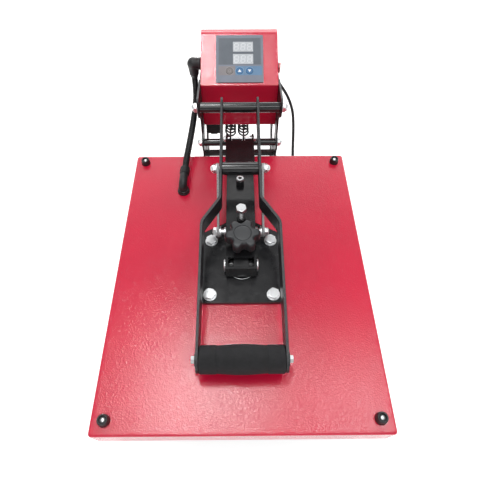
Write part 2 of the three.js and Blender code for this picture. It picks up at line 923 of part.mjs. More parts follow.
// ---- handle ----------------------------------------------------------------------
const slope = Math.atan2(T[1] - K[1], T[0] - K[0]);
const reach = Math.hypot(T[1] - K[1], T[0] - K[0]);
const alongBar = (y) => (T[0] - y) / Math.cos(slope);
{
  const barMatrix = new THREE.Matrix4()
    .makeRotationX(slope)
    .premultiply(translate(0, T[0], T[1]));
  const s1 = alongBar(80.4),
    s2 = alongBar(37.7);
  for (const s of [-1, 1]) {
    const a = BAR.rearIn,
      b = BAR.frontIn,
      t = BAR.t;
    // plan outline in the bar's frame: y is minus the distance from the top shaft
    const inner = [
      [a, 30],
      [a, -s1 + 4],
      [a + 0.9, -s1 - 1.5],
      [a + 3.6, -s1 - 6.5],
      [b - 3.6, -s2 + 4],
      [b - 0.9, -s2 - 1],
      [b, -s2 - 7],
      [b, -reach - 30],
    ];
    const outer = [
      [b + t, -reach - 30],
      [b + t, -s2 - 5.6],
      [b + t - 1.2, -s2 + 1.8],
      [b - 0.2 + t - 4.2, -s2 + 7.4],
      [a + t + 2.9, -s1 - 3.2],
      [a + t + 0.6, -s1 + 1.4],
      [a + t, -s1 + 6.2],
      [a + t, 30],
    ];
    const pts = [...inner, ...outer].map((p) => [s * p[0], p[1]]);
    if (s > 0) pts.reverse();
    let bar = slabZ(pts, -BAR.half - 5, BAR.half + 5);
    const side = stadium([0, 0], [-reach, 0], BAR.half, 9);
    const prism = slabX(side, -80, 80);
    bar = bar.intersect(prism);
    const g = geometryOf(bar);
    g.applyMatrix4(barMatrix);
    bar = solid(g)
      .subtract(cylX(-90, 90, T[0], T[1], 6.4))
      .subtract(cylX(-90, 90, G[0], G[1], 5.4))
      .subtract(cylX(-90, 90, K[0], K[1], 6.4));
    add(s < 0 ? "handle_bar_left" : "handle_bar_right", bar, BLACK());
  }
  const grip = turned(
    [
      [-59.9, 6.5],
      [-59.9, 18.6],
      [-58.6, 19.8],
      [-35.8, 19.8],
      [-35, 18.9],
      [-34.2, 19.7],
      [-15, 20.9],
      [15, 20.9],
      [34.2, 19.7],
      [35, 18.9],
      [35.8, 19.8],
      [58.6, 19.8],
      [59.9, 18.6],
      [59.9, 6.5],
      [-59.9, 6.5],
    ],
    "x",
    [0, K[0], K[1]],
    20,
  );
  add("handle_grip", grip, FOAM());
  const ko = BAR.frontIn + BAR.t;
  const rod = cylX(-ko - 1, ko + 1, K[0], K[1], 6)
    .add(cylX(ko + 0.4, ko + 2, K[0], K[1], 10, 20))
    .add(cylX(-ko - 2, -ko - 0.4, K[0], K[1], 10, 20))
    .add(slabX(hexPts(K[0], K[1], 10.5), ko + 1.8, ko + 7))
    .add(slabX(hexPts(K[0], K[1], 10.5), -ko - 7, -ko - 1.8));
  add("grip_rod", rod, ZINC());
  let shaft = cylX(-42, 42, G[0], G[1], 5)
    .add(cylX(-BAR.rearIn + 0.3, BAR.rearIn - 0.3, G[0], G[1], 11.4, 18))
    .add(domedNut(LINK.x1 + 0.5, 1, G[0], G[1], 15, 5.5, 5.5))
    .add(domedNut(-LINK.x1 - 0.5, -1, G[0], G[1], 15, 5.5, 5.5));
  add("toggle_shaft", shaft, TUBE());
  for (const s of [-1, 1]) {
    const a = s < 0 ? -LINK.x1 : LINK.x0,
      b = s < 0 ? -LINK.x0 : LINK.x1;
    let link = slabX(stadium(G, L, LINK.r, 10), a, b).subtract(
      cylX(-90, 90, G[0], G[1], 5.4),
    );
    add(s < 0 ? "link_left" : "link_right", link, BLACK());
  }
}

export default press;
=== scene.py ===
"""Looks of the flat heat press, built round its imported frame. Metres, +X to the machine's right, +Y to the rear, +Z up."""
import math
import random

import bmesh
import bpy
from mathutils import Matrix, Vector
from mathutils import noise as mnoise


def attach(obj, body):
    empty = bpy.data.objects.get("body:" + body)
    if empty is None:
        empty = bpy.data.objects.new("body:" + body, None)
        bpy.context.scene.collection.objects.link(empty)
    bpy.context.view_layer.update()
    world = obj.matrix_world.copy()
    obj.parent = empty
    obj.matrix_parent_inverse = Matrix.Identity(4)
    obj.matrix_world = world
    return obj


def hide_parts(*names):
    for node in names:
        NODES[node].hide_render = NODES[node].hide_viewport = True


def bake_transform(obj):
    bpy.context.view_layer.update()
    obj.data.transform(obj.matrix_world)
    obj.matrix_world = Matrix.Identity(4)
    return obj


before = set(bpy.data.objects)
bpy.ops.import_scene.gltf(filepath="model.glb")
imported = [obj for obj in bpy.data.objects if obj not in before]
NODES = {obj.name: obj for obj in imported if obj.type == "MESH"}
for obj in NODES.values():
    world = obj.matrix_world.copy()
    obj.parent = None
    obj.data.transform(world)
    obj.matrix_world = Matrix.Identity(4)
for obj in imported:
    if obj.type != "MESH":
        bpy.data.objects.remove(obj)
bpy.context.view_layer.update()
scene = bpy.context.scene
TAU = 2 * math.pi

# ---------------------------------------------------------------- places
# The construction's own millimetre frame has its zero at the middle of the top of the platen's cover.
SHIFT_Y, TABLE = -95.4, 150.0


def W(x, y, z):
    """A point of the construction's frame, in mm, as a point of the row frame, in metres."""
    return Vector((x, y + SHIFT_Y, z + TABLE)) * 0.001


T = (281.0, 104.3)
H = (298.0, 2.0)
G = (146.6, 83.3)
L = (54.5, 25.5)
K = (-168.4, 35.0)
P = (-8.0, 19.0)
KNOB = (2.6, 23.5)
STOP = (0.9, 73.0)
ROD = (293.5, 16.5)
BACK = (425.0, -10.0)
BOLTS = [(-51.0, 47.0), (51.5, 47.0), (-50.5, -56.0), (51.5, -56.0)]
PHI = math.atan2(165.5 - 119.0, 421.0 - 325.0)
# slope frame of the control box: x, v up the slope, n out of it
SLOPE = Matrix.Translation(W(0, 325, 119)) @ Matrix.Rotation(PHI, 4, "X") @ Matrix.Scale(0.001, 4)

# ---------------------------------------------------------------- camera
cam_data = bpy.data.cameras.new("camera")
cam_data.sensor_width = 36.0
cam_data.lens = 36.0 * 402.0 / 480.0
cam_data.clip_start, cam_data.clip_end = 0.02, 60.0
cam = bpy.data.objects.new("camera", cam_data)
scene.collection.objects.link(cam)
scene.camera = cam
_p, _y, _r = math.radians(56.86), math.radians(0.30), math.radians(-0.16)
_f = Vector((math.sin(_y) * math.cos(_p), math.cos(_y) * math.cos(_p), -math.sin(_p)))
_rt = Vector((math.cos(_y), -math.sin(_y), 0))
_up = _rt.cross(_f)
_rx = _rt * math.cos(_r) + _up * math.sin(_r)
_ux = -_rt * math.sin(_r) + _up * math.cos(_r)
_m = Matrix((_rx, _ux, -_f)).transposed().to_4x4()
_m.translation = W(-3.4, -335.9, 596.8)
cam.matrix_world = _m


# ---------------------------------------------------------------- mesh helpers
def make(name, verts, faces, mat, body, smooth=35.0):
    """A mesh object from points in the row frame, in metres; faces sharper than smooth degrees keep their edge."""
    me = bpy.data.meshes.new(name)
    me.from_pydata([tuple(v) for v in verts], [], faces)
    me.update()
    ob = bpy.data.objects.new(name, me)
    scene.collection.objects.link(ob)
    tidy(ob, smooth)
    mats = mat if isinstance(mat, (list, tuple)) else [mat]
    for m in mats:
        me.materials.append(m)
    if body is not None:
        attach(ob, body)
    return ob


def tidy(ob, smooth=35.0):
    me = ob.data
    bm = bmesh.new()
    bm.from_mesh(me)
    bmesh.ops.remove_doubles(bm, verts=bm.verts, dist=1e-6)
    bmesh.ops.recalc_face_normals(bm, faces=bm.faces)
    bm.to_mesh(me)
    bm.free()
    me.polygons.foreach_set("use_smooth", [True] * len(me.polygons))
    me.set_sharp_from_angle(angle=math.radians(smooth))
    me.update()
    broad_faces(me)


def broad_faces(me):
    """Corner normals weighted by area, so that a broad flat face stays flat right up to its rounded edge."""
    areas = [p.area for p in me.polygons]
    if not areas or max(areas) < 12 * sorted(areas)[len(areas) // 2]:
        return
    bm = bmesh.new()
    bm.from_mesh(me)
    out = [None] * len(me.loops)
    for v in bm.verts:
        root = {f.index: f.index for f in v.link_faces}

        def find(i):
            while root[i] != i:
                i = root[i]
            return i

        for e in v.link_edges:
            if e.smooth and len(e.link_faces) == 2:
                a, b = find(e.link_faces[0].index), find(e.link_faces[1].index)
                if a != b:
                    root[b] = a
        total = {}
        for f in v.link_faces:
            k = find(f.index)
            total[k] = total.get(k, Vector((0, 0, 0))) + f.normal * areas[f.index]
        for l in v.link_loops:
            n = total[find(l.face.index)]
            out[l.index] = tuple(n.normalized() if n.length > 1e-15 else l.face.normal)
    bm.free()
    if all(n is not None for n in out):
        me.normals_split_custom_set(out)


class Parts:
    """Gathers several solids into one mesh, each with a material index."""

    def __init__(self):
        self.v, self.f, self.mi = [], [], []

    def add(self, verts, faces, mi=0, matrix=None):
        k = len(self.v)
        self.v += [matrix @ Vector(p) if matrix is not None else Vector(p) for p in verts]
        self.f += [tuple(i + k for i in f) for f in faces]
        self.mi += [mi] * len(faces)
        return self

    def build(self, name, mats, body, smooth=35.0, bevel=0.0, segments=2):
        me = bpy.data.meshes.new(name)
        me.from_pydata([tuple(v) for v in self.v], [], self.f)
        me.polygons.foreach_set("material_index", self.mi)
        me.update()
        ob = bpy.data.objects.new(name, me)
        scene.collection.objects.link(ob)
        for m in mats if isinstance(mats, (list, tuple)) else [mats]:
            me.materials.append(m)
        if bevel:
            soften(ob, bevel, segments)
        tidy(ob, smooth)
        if body is not None:
            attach(ob, body)
        return ob


def soften(ob, width, segments=2, angle=28.0):
    """Rounds the edges of a mesh whose faces meet at more than angle degrees."""
    me = ob.data
    bm = bmesh.new()
    bm.from_mesh(me)
    bmesh.ops.remove_doubles(bm, verts=bm.verts, dist=2e-6)
    bmesh.ops.dissolve_limit(bm, angle_limit=math.radians(1.0), verts=bm.verts, edges=bm.edges, delimit={"MATERIAL"})
    sharp = [e for e in bm.edges if len(e.link_faces) == 2 and e.calc_face_angle(0) > math.radians(angle)]
    bmesh.ops.bevel(bm, geom=sharp, offset=width, offset_type="OFFSET", segments=segments, profile=0.5,
                    affect="EDGES", clamp_overlap=True, loop_slide=True, miter_outer="SHARP")
    bm.to_mesh(me)
    bm.free()
    me.update()


def rings_mesh(rings, closed_ring=True, cap=True):
    """Vertices and faces of a skin through a list of point rings of equal count."""
    n = len(rings[0])
    verts = [p for r in rings for p in r]
    faces = []
    for i in range(len(rings) - 1):
        for j in range(n if closed_ring else n - 1):
            a, b = i * n + j, i * n + (j + 1) % n
            faces.append((a, b, b + n, a + n))
    if cap:
        faces.append(tuple(reversed(range(n))))
        faces.append(tuple(range((len(rings) - 1) * n, len(rings) * n)))
    return verts, faces


def lathe(profile, n=48, closed=False):
    """A section of revolution about Z; profile is [(along, radius), ...] in mm. closed joins the last point to the first."""
    verts, faces, idx = [], [], []
    for z, r in profile:
        if r < 1e-6:
            idx.append([len(verts)] * n)
            verts.append((0, 0, z))
        else:
            idx.append(list(range(len(verts), len(verts) + n)))
            verts += [(r * math.cos(TAU * j / n), r * math.sin(TAU * j / n), z) for j in range(n)]
    m = len(profile)
    for i in range(m if closed else m - 1):
        a, b = idx[i], idx[(i + 1) % m]
        for j in range(n):
            k = (j + 1) % n
            f = [a[j], a[k], b[k], b[j]]
            f = [q for t, q in enumerate(f) if q not in f[:t]]
            if len(f) > 2:
                faces.append(tuple(f))
    return verts, faces


def about(axis, x, y, z):
    """Takes a shape made along Z, in mm, to a place of the construction's frame, pointing along axis."""
    o = W(x, y, z)
    d = {"x": Vector((1, 0, 0)), "-x": Vector((-1, 0, 0)), "y": Vector((0, 1, 0)), "-y": Vector((0, -1, 0)),
         "z": Vector((0, 0, 1)), "-z": Vector((0, 0, -1))}.get(axis) if isinstance(axis, str) else Vector(axis).normalized()
    q = Vector((0, 0, 1)).rotation_difference(d).to_matrix().to_4x4()
    return Matrix.Translation(o) @ q @ Matrix.Scale(0.001, 4)


def prism(outline, z0, z1):
    n = len(outline)
    verts = [(x, y, z0) for x, y in outline] + [(x, y, z1) for x, y in outline]
    faces = [tuple(reversed(range(n))), tuple(range(n, 2 * n))]
    faces += [(j, (j + 1) % n, n + (j + 1) % n, n + j) for j in range(n)]
    return verts, faces


def rounded(x0, x1, y0, y1, r, n=6):
    pts = []
    for cx, cy, a0 in ((x1 - r, y1 - r, 0), (x0 + r, y1 - r, 90), (x0 + r, y0 + r, 180), (x1 - r, y0 + r, 270)):
        for i in range(n + 1):
            a = math.radians(a0 + 90 * i / n)
            pts.append((cx + r * math.cos(a), cy + r * math.sin(a)))
    return pts


def hex_head(af, h, z0=0.0, turn=0.0, both=False, socket=None, n=60):
    """A hexagon head or nut of width af, chamfered as turned ones are. both chamfers the underside too."""
    rc = 0.475 * af

    def hexr(a):
        k = (a - turn + math.pi / 6) % (math.pi / 3) - math.pi / 6
        return af / 2 / math.cos(k)

    ang = [TAU * j / n for j in range(n)]
    lo = []
    drop = 0.55
    ring = lambda f: [f(a) for a in ang]
    top_out = ring(lambda a: (hexr(a) * math.cos(a), hexr(a) * math.sin(a), z0 + h - (hexr(a) - rc) * drop))
    top_in = ring(lambda a: (rc * math.cos(a), rc * math.sin(a), z0 + h))
    bot_in = ring(lambda a: (rc * math.cos(a), rc * math.sin(a), z0))
    bot_out = ring(lambda a: (hexr(a) * math.cos(a), hexr(a) * math.sin(a), z0 + ((hexr(a) - rc) * drop if both else 0.0)))
    rings = ([bot_in] if both else []) + [bot_out, top_out, top_in]
    if socket:
        s, d = socket
        rings.append([(s * math.cos(a), s * math.sin(a), z0 + h) for a in ang])
        rings.append([(s * math.cos(a), s * math.sin(a), z0 + h - d) for a in ang])
    return rings_mesh(rings)


def washer(ri, ro, z0, z1, c=0.15, n=48):
    return lathe([(z0, ri), (z0, ro - c), (z0 + c, ro), (z1 - c, ro), (z1, ro - c), (z1, ri)], n, closed=True)


def resample(pts, step):
    """Points a step apart on the centripetal curve through pts."""
    pts = [Vector(p) for p in pts]
    out = []
    for i in range(len(pts) - 1):
        p1, p2 = pts[i], pts[i + 1]
        p0 = pts[i - 1] if i else p1 * 2 - p2
        p3 = pts[i + 2] if i + 2 < len(pts) else p2 * 2 - p1
        d0, d1, d2 = (max((b - a).length, 1e-9) ** 0.5 for a, b in ((p0, p1), (p1, p2), (p2, p3)))
        t1 = ((p1 - p0) / d0 - (p2 - p0) / (d0 + d1) + (p2 - p1) / d1) * d1
        t2 = ((p2 - p1) / d1 - (p3 - p1) / (d1 + d2) + (p3 - p2) / d2) * d1
        for k in range(24):
            t = k / 24
            out.append(p1 + t1 * t + (p1 * -3 + p2 * 3 - t1 * 2 - t2) * t * t + (p1 * 2 - p2 * 2 + t1 + t2) * t ** 3)
    out.append(pts[-1])
    s = [0.0]
    for a, b in zip(out, out[1:]):
        s.append(s[-1] + (b - a).length)
    n = max(2, round(s[-1] / step))
    res, k = [], 0
    for i in range(n + 1):
        d = s[-1] * i / n
        while k < len(s) - 2 and s[k + 1] < d:
            k += 1
        f = 0 if s[k + 1] == s[k] else (d - s[k]) / (s[k + 1] - s[k])
        res.append(out[k].lerp(out[k + 1], min(1, f)))
    return res


def sweep(path, radius, sides=16, squash=None):
    """A tube along a path; radius is a number or a function of the step's index. Returns vertices and faces."""
    tang = []
    for i in range(len(path)):
        a, b = path[max(0, i - 1)], path[min(len(path) - 1, i + 1)]
        tang.append((b - a).normalized())
    ref = Vector((0, 0, 1)) if abs(tang[0].z) < 0.9 else Vector((1, 0, 0))
    u = tang[0].cross(ref).normalized()
    rings = []
    for i, p in enumerate(path):
        if i:
            u = (tang[i - 1].rotation_difference(tang[i]) @ u).normalized()
        v = tang[i].cross(u).normalized()
        r = radius(i) if callable(radius) else radius
        rings.append([p + (u * math.cos(TAU * j / sides) + v * math.sin(TAU * j / sides)) * r for j in range(sides)])
    return rings_mesh(rings)


# ---------------------------------------------------------------- materials
def material(name, color, rough, metal=0.0, spec=0.5, coat=0.0, coat_rough=0.1, sheen=0.0):
    m = bpy.data.materials.new(name)
    m.use_nodes = True
    nt = m.node_tree
    b = nt.nodes["Principled BSDF"]
    b.inputs["Base Color"].default_value = (*color, 1)
    b.inputs["Roughness"].default_value = rough
    b.inputs["Metallic"].default_value = metal
    b.inputs["Specular IOR Level"].default_value = spec
    b.inputs["Coat Weight"].default_value = coat
    b.inputs["Coat Roughness"].default_value = coat_rough
    b.inputs["Sheen Weight"].default_value = sheen
    m.diffuse_color = (*color, 1)
    return m, nt, b


def coords(nt):
    return nt.nodes.new("ShaderNodeTexCoord").outputs["Object"]


def noise_tex(nt, scale, detail=2.0, rough=0.5, vec=None, dist=0.0):
    n = nt.nodes.new("ShaderNodeTexNoise")
    n.inputs["Scale"].default_value = scale
    n.inputs["Detail"].default_value = detail
    n.inputs["Roughness"].default_value = rough
    n.inputs["Distortion"].default_value = dist
    nt.links.new(vec if vec is not None else coords(nt), n.inputs["Vector"])
    return n.outputs["Fac"]


def voronoi(nt, scale, vec=None, feature="SMOOTH_F1", smooth=0.6, randomness=1.0):
    n = nt.nodes.new("ShaderNodeTexVoronoi")
    n.feature = feature
    n.inputs["Scale"].default_value = scale
    if feature == "SMOOTH_F1":
        n.inputs["Smoothness"].default_value = smooth
    n.inputs["Randomness"].default_value = randomness
    nt.links.new(vec if vec is not None else coords(nt), n.inputs["Vector"])
    return n.outputs["Distance"]


def ramp(nt, fac, stops, interp="LINEAR"):
    r = nt.nodes.new("ShaderNodeValToRGB")
    r.color_ramp.interpolation = interp
    el = r.color_ramp.elements
    while len(el) < len(stops):
        el.new(0.5)
    for e, (pos, c) in zip(el, stops):
        e.position = pos
        e.color = (*c, 1) if len(c) == 3 else c
    nt.links.new(fac, r.inputs["Fac"])
    return r.outputs["Color"]


def remap(nt, fac, lo, hi, a=0.0, b=1.0):
    n = nt.nodes.new("ShaderNodeMapRange")
    n.inputs["From Min"].default_value = lo
    n.inputs["From Max"].default_value = hi
    n.inputs["To Min"].default_value = a
    n.inputs["To Max"].default_value = b
    nt.links.new(fac, n.inputs["Value"])
    return n.outputs["Result"]


def mathn(nt, op, a, b=None):
    n = nt.nodes.new("ShaderNodeMath")
    n.operation = op
    for i, v in enumerate((a, b)):
        if v is None:
            continue
        if isinstance(v, (int, float)):
            n.inputs[i].default_value = v
        else:
            nt.links.new(v, n.inputs[i])
    return n.outputs["Value"]


def mixc(nt, fac, a, b, blend="MIX"):
    n = nt.nodes.new("ShaderNodeMix")
    n.data_type = "RGBA"
    n.blend_type = blend
    for sock, v in ((n.inputs["Factor"], fac), (n.inputs[6], a), (n.inputs[7], b)):
        if isinstance(v, (int, float)):
            sock.default_value = v
        elif isinstance(v, tuple):
            sock.default_value = (*v, 1) if len(v) == 3 else v
        else:
            nt.links.new(v, sock)
    return n.outputs[2]


def bump(nt, b, height, strength, distance, chain=None, socket="Normal"):
    n = nt.nodes.new("ShaderNodeBump")
    n.inputs["Strength"].default_value = strength
    n.inputs["Distance"].default_value = distance
    nt.links.new(height, n.inputs["Height"])
    if chain is not None:
        nt.links.new(chain, n.inputs["Normal"])
    nt.links.new(n.outputs["Normal"], b.inputs[socket])
    return n.outputs["Normal"]


def vary(nt, b, base, amount, scale, detail=3.0):
    """Slow change of tone over a surface."""
    n = noise_tex(nt, scale, detail)
    lo = tuple(max(0.0, c * (1 - amount)) for c in base)
    hi = tuple(min(1.0, c * (1 + amount)) for c in base)
    c = ramp(nt, n, [(0.3, lo), (0.7, hi)])
    nt.links.new(c, b.inputs["Base Color"])
    return c


def red_paint(name="red_textured_paint", base=(0.60, 0.008, 0.042), grain=560.0, depth=0.00045, rough=0.11):
    m, nt, b = material(name, base, rough, 0.0, 0.78)
    vary(nt, b, base, 0.06, 9.0)
    cells = voronoi(nt, grain, smooth=0.75)
    fine = noise_tex(nt, grain * 2.6, 2.0, 0.55)
    h = mathn(nt, "ADD", mathn(nt, "MULTIPLY", cells, 0.8), mathn(nt, "MULTIPLY", fine, 0.45))
    bump(nt, b, h, 0.55, depth)
    nt.links.new(remap(nt, noise_tex(nt, 45.0, 3.0), 0.3, 0.7, rough - 0.04, rough + 0.05), b.inputs["Roughness"])
    return m


def black_paint(name="black_satin_paint", base=(0.0135, 0.0135, 0.015), rough=0.19, grain=1100.0, depth=0.00004, spec=0.5):
    m, nt, b = material(name, base, rough, 0.0, spec)
    vary(nt, b, base, 0.15, 30.0)
    n1 = noise_tex(nt, grain, 2.0, 0.6)
    n2 = noise_tex(nt, grain * 0.28, 2.0, 0.5)
    h = mathn(nt, "ADD", n1, mathn(nt, "MULTIPLY", n2, 0.7))
    bump(nt, b, h, 0.5, depth)
    nt.links.new(remap(nt, noise_tex(nt, 70.0, 4.0), 0.3, 0.7, rough - 0.05, rough + 0.07), b.inputs["Roughness"])
    return m


def cut_edge_paint(name, low=(0.022, 0.023, 0.025), mid=(0.055, 0.057, 0.062), high=(0.22, 0.225, 0.24), top=True):
    """Black plate whose sawn edges are coarser and thinner in paint than its flat faces, with lighter flecks there;
    with top, the flecks show only on edges that face up, a painted highlight.
    """
    base = (0.017, 0.017, 0.019)
    m, nt, b = material(name, base, 0.36, 0.0, 0.32)
    geo = nt.nodes.new("ShaderNodeTexCoord")
    sep = nt.nodes.new("ShaderNodeSeparateXYZ")
    nt.links.new(geo.outputs["Normal"], sep.inputs[0])
    nx = mathn(nt, "ABSOLUTE", sep.outputs["X"])
    up = sep.outputs["Z"]
    edge = remap(nt, nx, 0.25, 0.55, 1.0, 0.0)
    # top keeps the lighter flecks to edges that face up: a painted highlight
    if top:
        edge = mathn(nt, "MULTIPLY", edge, remap(nt, up, 0.2, 0.7, 0.0, 1.0))
    coarse = noise_tex(nt, 780.0, 3.0, 0.7)
    fleck = ramp(nt, coarse, [(0.42, low), (0.60, mid), (0.74, high)])
    col = mixc(nt, edge, ramp(nt, noise_tex(nt, 30.0, 3.0), [(0.3, (0.013, 0.013, 0.015)), (0.7, (0.021, 0.021, 0.023))]), fleck)
    nt.links.new(col, b.inputs["Base Color"])
    h = mathn(nt, "ADD", mathn(nt, "MULTIPLY", coarse, remap(nt, edge, 0.0, 1.0, 0.35, 1.6)), noise_tex(nt, 1500.0, 1.0))
    bump(nt, b, h, 0.6, 0.00016)
    nt.links.new(remap(nt, noise_tex(nt, 60.0, 3.0), 0.3, 0.7, 0.31, 0.43), b.inputs["Roughness"])
    return m


def gloss_black(name="black_gloss_paint", base=(0.010, 0.010, 0.0115), rough=0.17):
    m, nt, b = material(name, base, rough, 0.0, 0.55, coat=0.25, coat_rough=0.12)
    vary(nt, b, base, 0.2, 50.0)
    h = noise_tex(nt, 240.0, 2.0, 0.5)
    bump(nt, b, h, 0.16, 0.0002)
    nt.links.new(remap(nt, noise_tex(nt, 130.0, 4.0), 0.3, 0.7, rough - 0.03, rough + 0.07), b.inputs["Roughness"])
    return m


def zinc(name="zinc_plate", base=(0.80, 0.81, 0.82), rough=0.22, grain=900.0):
    m, nt, b = material(name, base, rough, 1.0, 0.5)
    vary(nt, b, base, 0.06, 220.0)
    h = noise_tex(nt, grain, 3.0, 0.6)
    bump(nt, b, h, 0.16, 0.00008)
    nt.links.new(remap(nt, noise_tex(nt, 380.0, 4.0), 0.3, 0.7, rough - 0.05, rough + 0.10), b.inputs["Roughness"])
    return m


def brushed(name, base, rough, axis="x", metal=1.0):
    m, nt, b = material(name, base, rough, metal, 0.5)
    mp = nt.nodes.new("ShaderNodeMapping")
    mp.inputs["Scale"].default_value = {"x": (8, 700, 700), "y": (700, 8, 700), "z": (700, 700, 8)}[axis]
    nt.links.new(coords(nt), mp.inputs["Vector"])
    n = noise_tex(nt, 1.0, 4.0, 0.6, vec=mp.outputs["Vector"])
    nt.links.new(ramp(nt, n, [(0.25, tuple(c * 0.8 for c in base)), (0.75, tuple(min(1, c * 1.12) for c in base))]), b.inputs["Base Color"])
    nt.links.new(remap(nt, n, 0.3, 0.7, rough - 0.06, rough + 0.12), b.inputs["Roughness"])
    bump(nt, b, n, 0.2, 0.00008)
    return m


def plastic(name, base, rough=0.45, grain=1300.0, depth=0.00006, spec=0.5, amount=0.08):
    m, nt, b = material(name, base, rough, 0.0, spec)
    vary(nt, b, base, amount, 60.0)
    h = noise_tex(nt, grain, 2.0, 0.6)
    bump(nt, b, h, 0.45, depth)
    nt.links.new(remap(nt, noise_tex(nt, 90.0, 3.0), 0.3, 0.7, rough - 0.04, rough + 0.06), b.inputs["Roughness"])
    return m


def foam(name="grip_foam", base=(0.013, 0.0128, 0.0142)):
    m, nt, b = material(name, base, 0.78, 0.0, 0.35, sheen=0.06)
    b.inputs["Sheen Roughness"].default_value = 0.5
    b.inputs["Sheen Tint"].default_value = (0.6, 0.6, 0.62, 1)
    vary(nt, b, base, 0.2, 120.0)
    pores = voronoi(nt, 1500.0, feature="F1")
    pits = remap(nt, pores, 0.12, 0.42)
    cloud = noise_tex(nt, 500.0, 3.0)
    h = mathn(nt, "ADD", pits, mathn(nt, "MULTIPLY", cloud, 0.8))
    bump(nt, b, h, 0.5, 0.00014)
    return m


def rubber(name, base=(0.011, 0.011, 0.012), rough=0.5, grain=900.0, depth=0.00005, spec=0.45):
    m, nt, b = material(name, base, rough, 0.0, spec)
    vary(nt, b, base, 0.2, 80.0)
    bump(nt, b, noise_tex(nt, grain, 3.0, 0.6), 0.4, depth)
    nt.links.new(remap(nt, noise_tex(nt, 60.0, 4.0), 0.3, 0.7, rough - 0.06, rough + 0.08), b.inputs["Roughness"])
    return m


def silicone(name="silicone_foam", base=(0.50, 0.105, 0.030)):
    m, nt, b = material(name, base, 0.62, 0.0, 0.4)
    vary(nt, b, base, 0.08, 25.0)
    pores = voronoi(nt, 1400.0, feature="F1")
    h = mathn(nt, "ADD", remap(nt, pores, 0.1, 0.4), mathn(nt, "MULTIPLY", noise_tex(nt, 60.0, 3.0), 0.4))
    bump(nt, b, h, 0.4, 0.00012)
    return m


RED = red_paint()
BOX_RED = red_paint("red_textured_paint_box", (0.60, 0.008, 0.042), 560.0, 0.00036, 0.14)
BLACK = black_paint()
BASE_BLACK = black_paint("black_paint_base", (0.0105, 0.0105, 0.012), 0.42)
BAR_BLACK = cut_edge_paint("black_plate_with_cut_edges")
# the links' sawn edges are near white, far lighter than the bars': thin paint on a sawn edge plus a painted highlight
LINK_BLACK = cut_edge_paint("black_plate_with_painted_highlight_edges", (0.28, 0.283, 0.29), (0.52, 0.525, 0.53), (0.82, 0.83, 0.84), False)
TUBE_BLACK = gloss_black()
ZINC = zinc("zinc_plate", (0.72, 0.73, 0.74), 0.31, 700.0)
ZINC_DULL = zinc("zinc_plate_dull", (0.62, 0.63, 0.645), 0.33, 700.0)
SPRING = zinc("blackened_spring_wire", (0.045, 0.045, 0.05), 0.32)
ALU = brushed("ground_aluminium", (0.62, 0.625, 0.64), 0.34, "x")
MOULD = plastic("moulded_black", (0.013, 0.013, 0.0145), 0.42)
KNOB_GREY = plastic("knob_dark_grey", (0.032, 0.034, 0.037), 0.40, 1500.0, 0.00007)
HOSE = rubber("hose_black", (0.010, 0.010, 0.011), 0.38)
RUBBER = rubber("rubber_black", (0.013, 0.013, 0.014), 0.62)
CORD = rubber("cord_sheath", (0.012, 0.012, 0.0135), 0.48)
FOAM = foam()
SILICONE = silicone()
SWITCH_RED = plastic("switch_red", (0.50, 0.008, 0.014), 0.22, 400.0, 0.00002)


# ---------------------------------------------------------------- mains cord, its gland and plug
CORD_R = 0.0035
ROUTE = [(55, 465, 45), (55.7, 473.5, 44.4), (58.4, 482.4, 41.7), (63, 489.7, 37.3), (69, 494.7, 31.6), (75.8, 496.9, 25),
         (89, 494.8, 11.6), (100.7, 488.6, -2.8), (112, 480, -15.8), (121.5, 469.5, -31), (129, 457.8, -50), (132.8, 443.5, -77),
         (134.2, 426.8, -106), (134.4, 409, -129), (134.2, 391, -142.4), (134, 376, -146), (134, 363, -146.3), (134, 350.8, -146.3)]
COIL = (175.0, 326.0)


def cord_piece():
    """The lead down from the gland to the bench, then six turns in two layers, and out to the plug."""
    pts = resample([W(*p) for p in ROUTE], 0.006)
    # turns, seen from above anticlockwise from the left side: angle, radius, height
    turns = []
    radii = [41.0, 33.4, 25.9, 25.9, 33.4, 41.0]
    level = [0, 0, 0, 1, 1, 1]
    steps = 48
    total = int(len(radii) * steps)
    z0, z1 = -146.3, -138.6
    for i in range(total + 1):
        k = i / steps
        a = min(int(k), len(radii) - 1)
        b = min(a + 1, len(radii) - 1)
        f = k - a
        # the turn is even for most of its round and steps to the next one over its last quarter
        s = max(0.0, (f - 0.72) / 0.28)
        s = s * s * (3 - 2 * s)
        r = radii[a] + (radii[b] - radii[a]) * s
        z = z0 + (z1 - z0) * (level[a] + (level[b] - level[a]) * s)
        ang = math.pi + TAU * k
        turns.append((COIL[0] + r * math.cos(ang), COIL[1] + r * math.sin(ang), z))
    spiral = [W(*p) for p in turns[2:]]
    out = [W(134.6, 317, -138.6), W(136.2, 308, -139.2), W(139.2, 299, -140.4), W(141, 292.6, -141)]
    # the last quarter turn ends on the left side, heading to the front
    line = resample(pts + spiral + out, 0.004)
    cu = bpy.data.curves.new("power_lead", "CURVE")
    cu.dimensions = "3D"
    sp = cu.splines.new("POLY")
    sp.points.add(len(line) - 1)
    for q, p in zip(sp.points, line):
        q.co = (*p, 1)
    cu.bevel_depth = CORD_R
    cu.bevel_resolution = 5
    cu.use_fill_caps = True
    sp.use_smooth = True
    ob = bpy.data.objects.new("power_lead", cu)
    scene.collection.objects.link(ob)
    cu.materials.append(CORD)
    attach(ob, "frame")
    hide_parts("power_cord", "cord_coil")
    length = sum((b - a).length for a, b in zip(line, line[1:]))
    return ob, length


lead, LEAD_LENGTH = cord_piece()

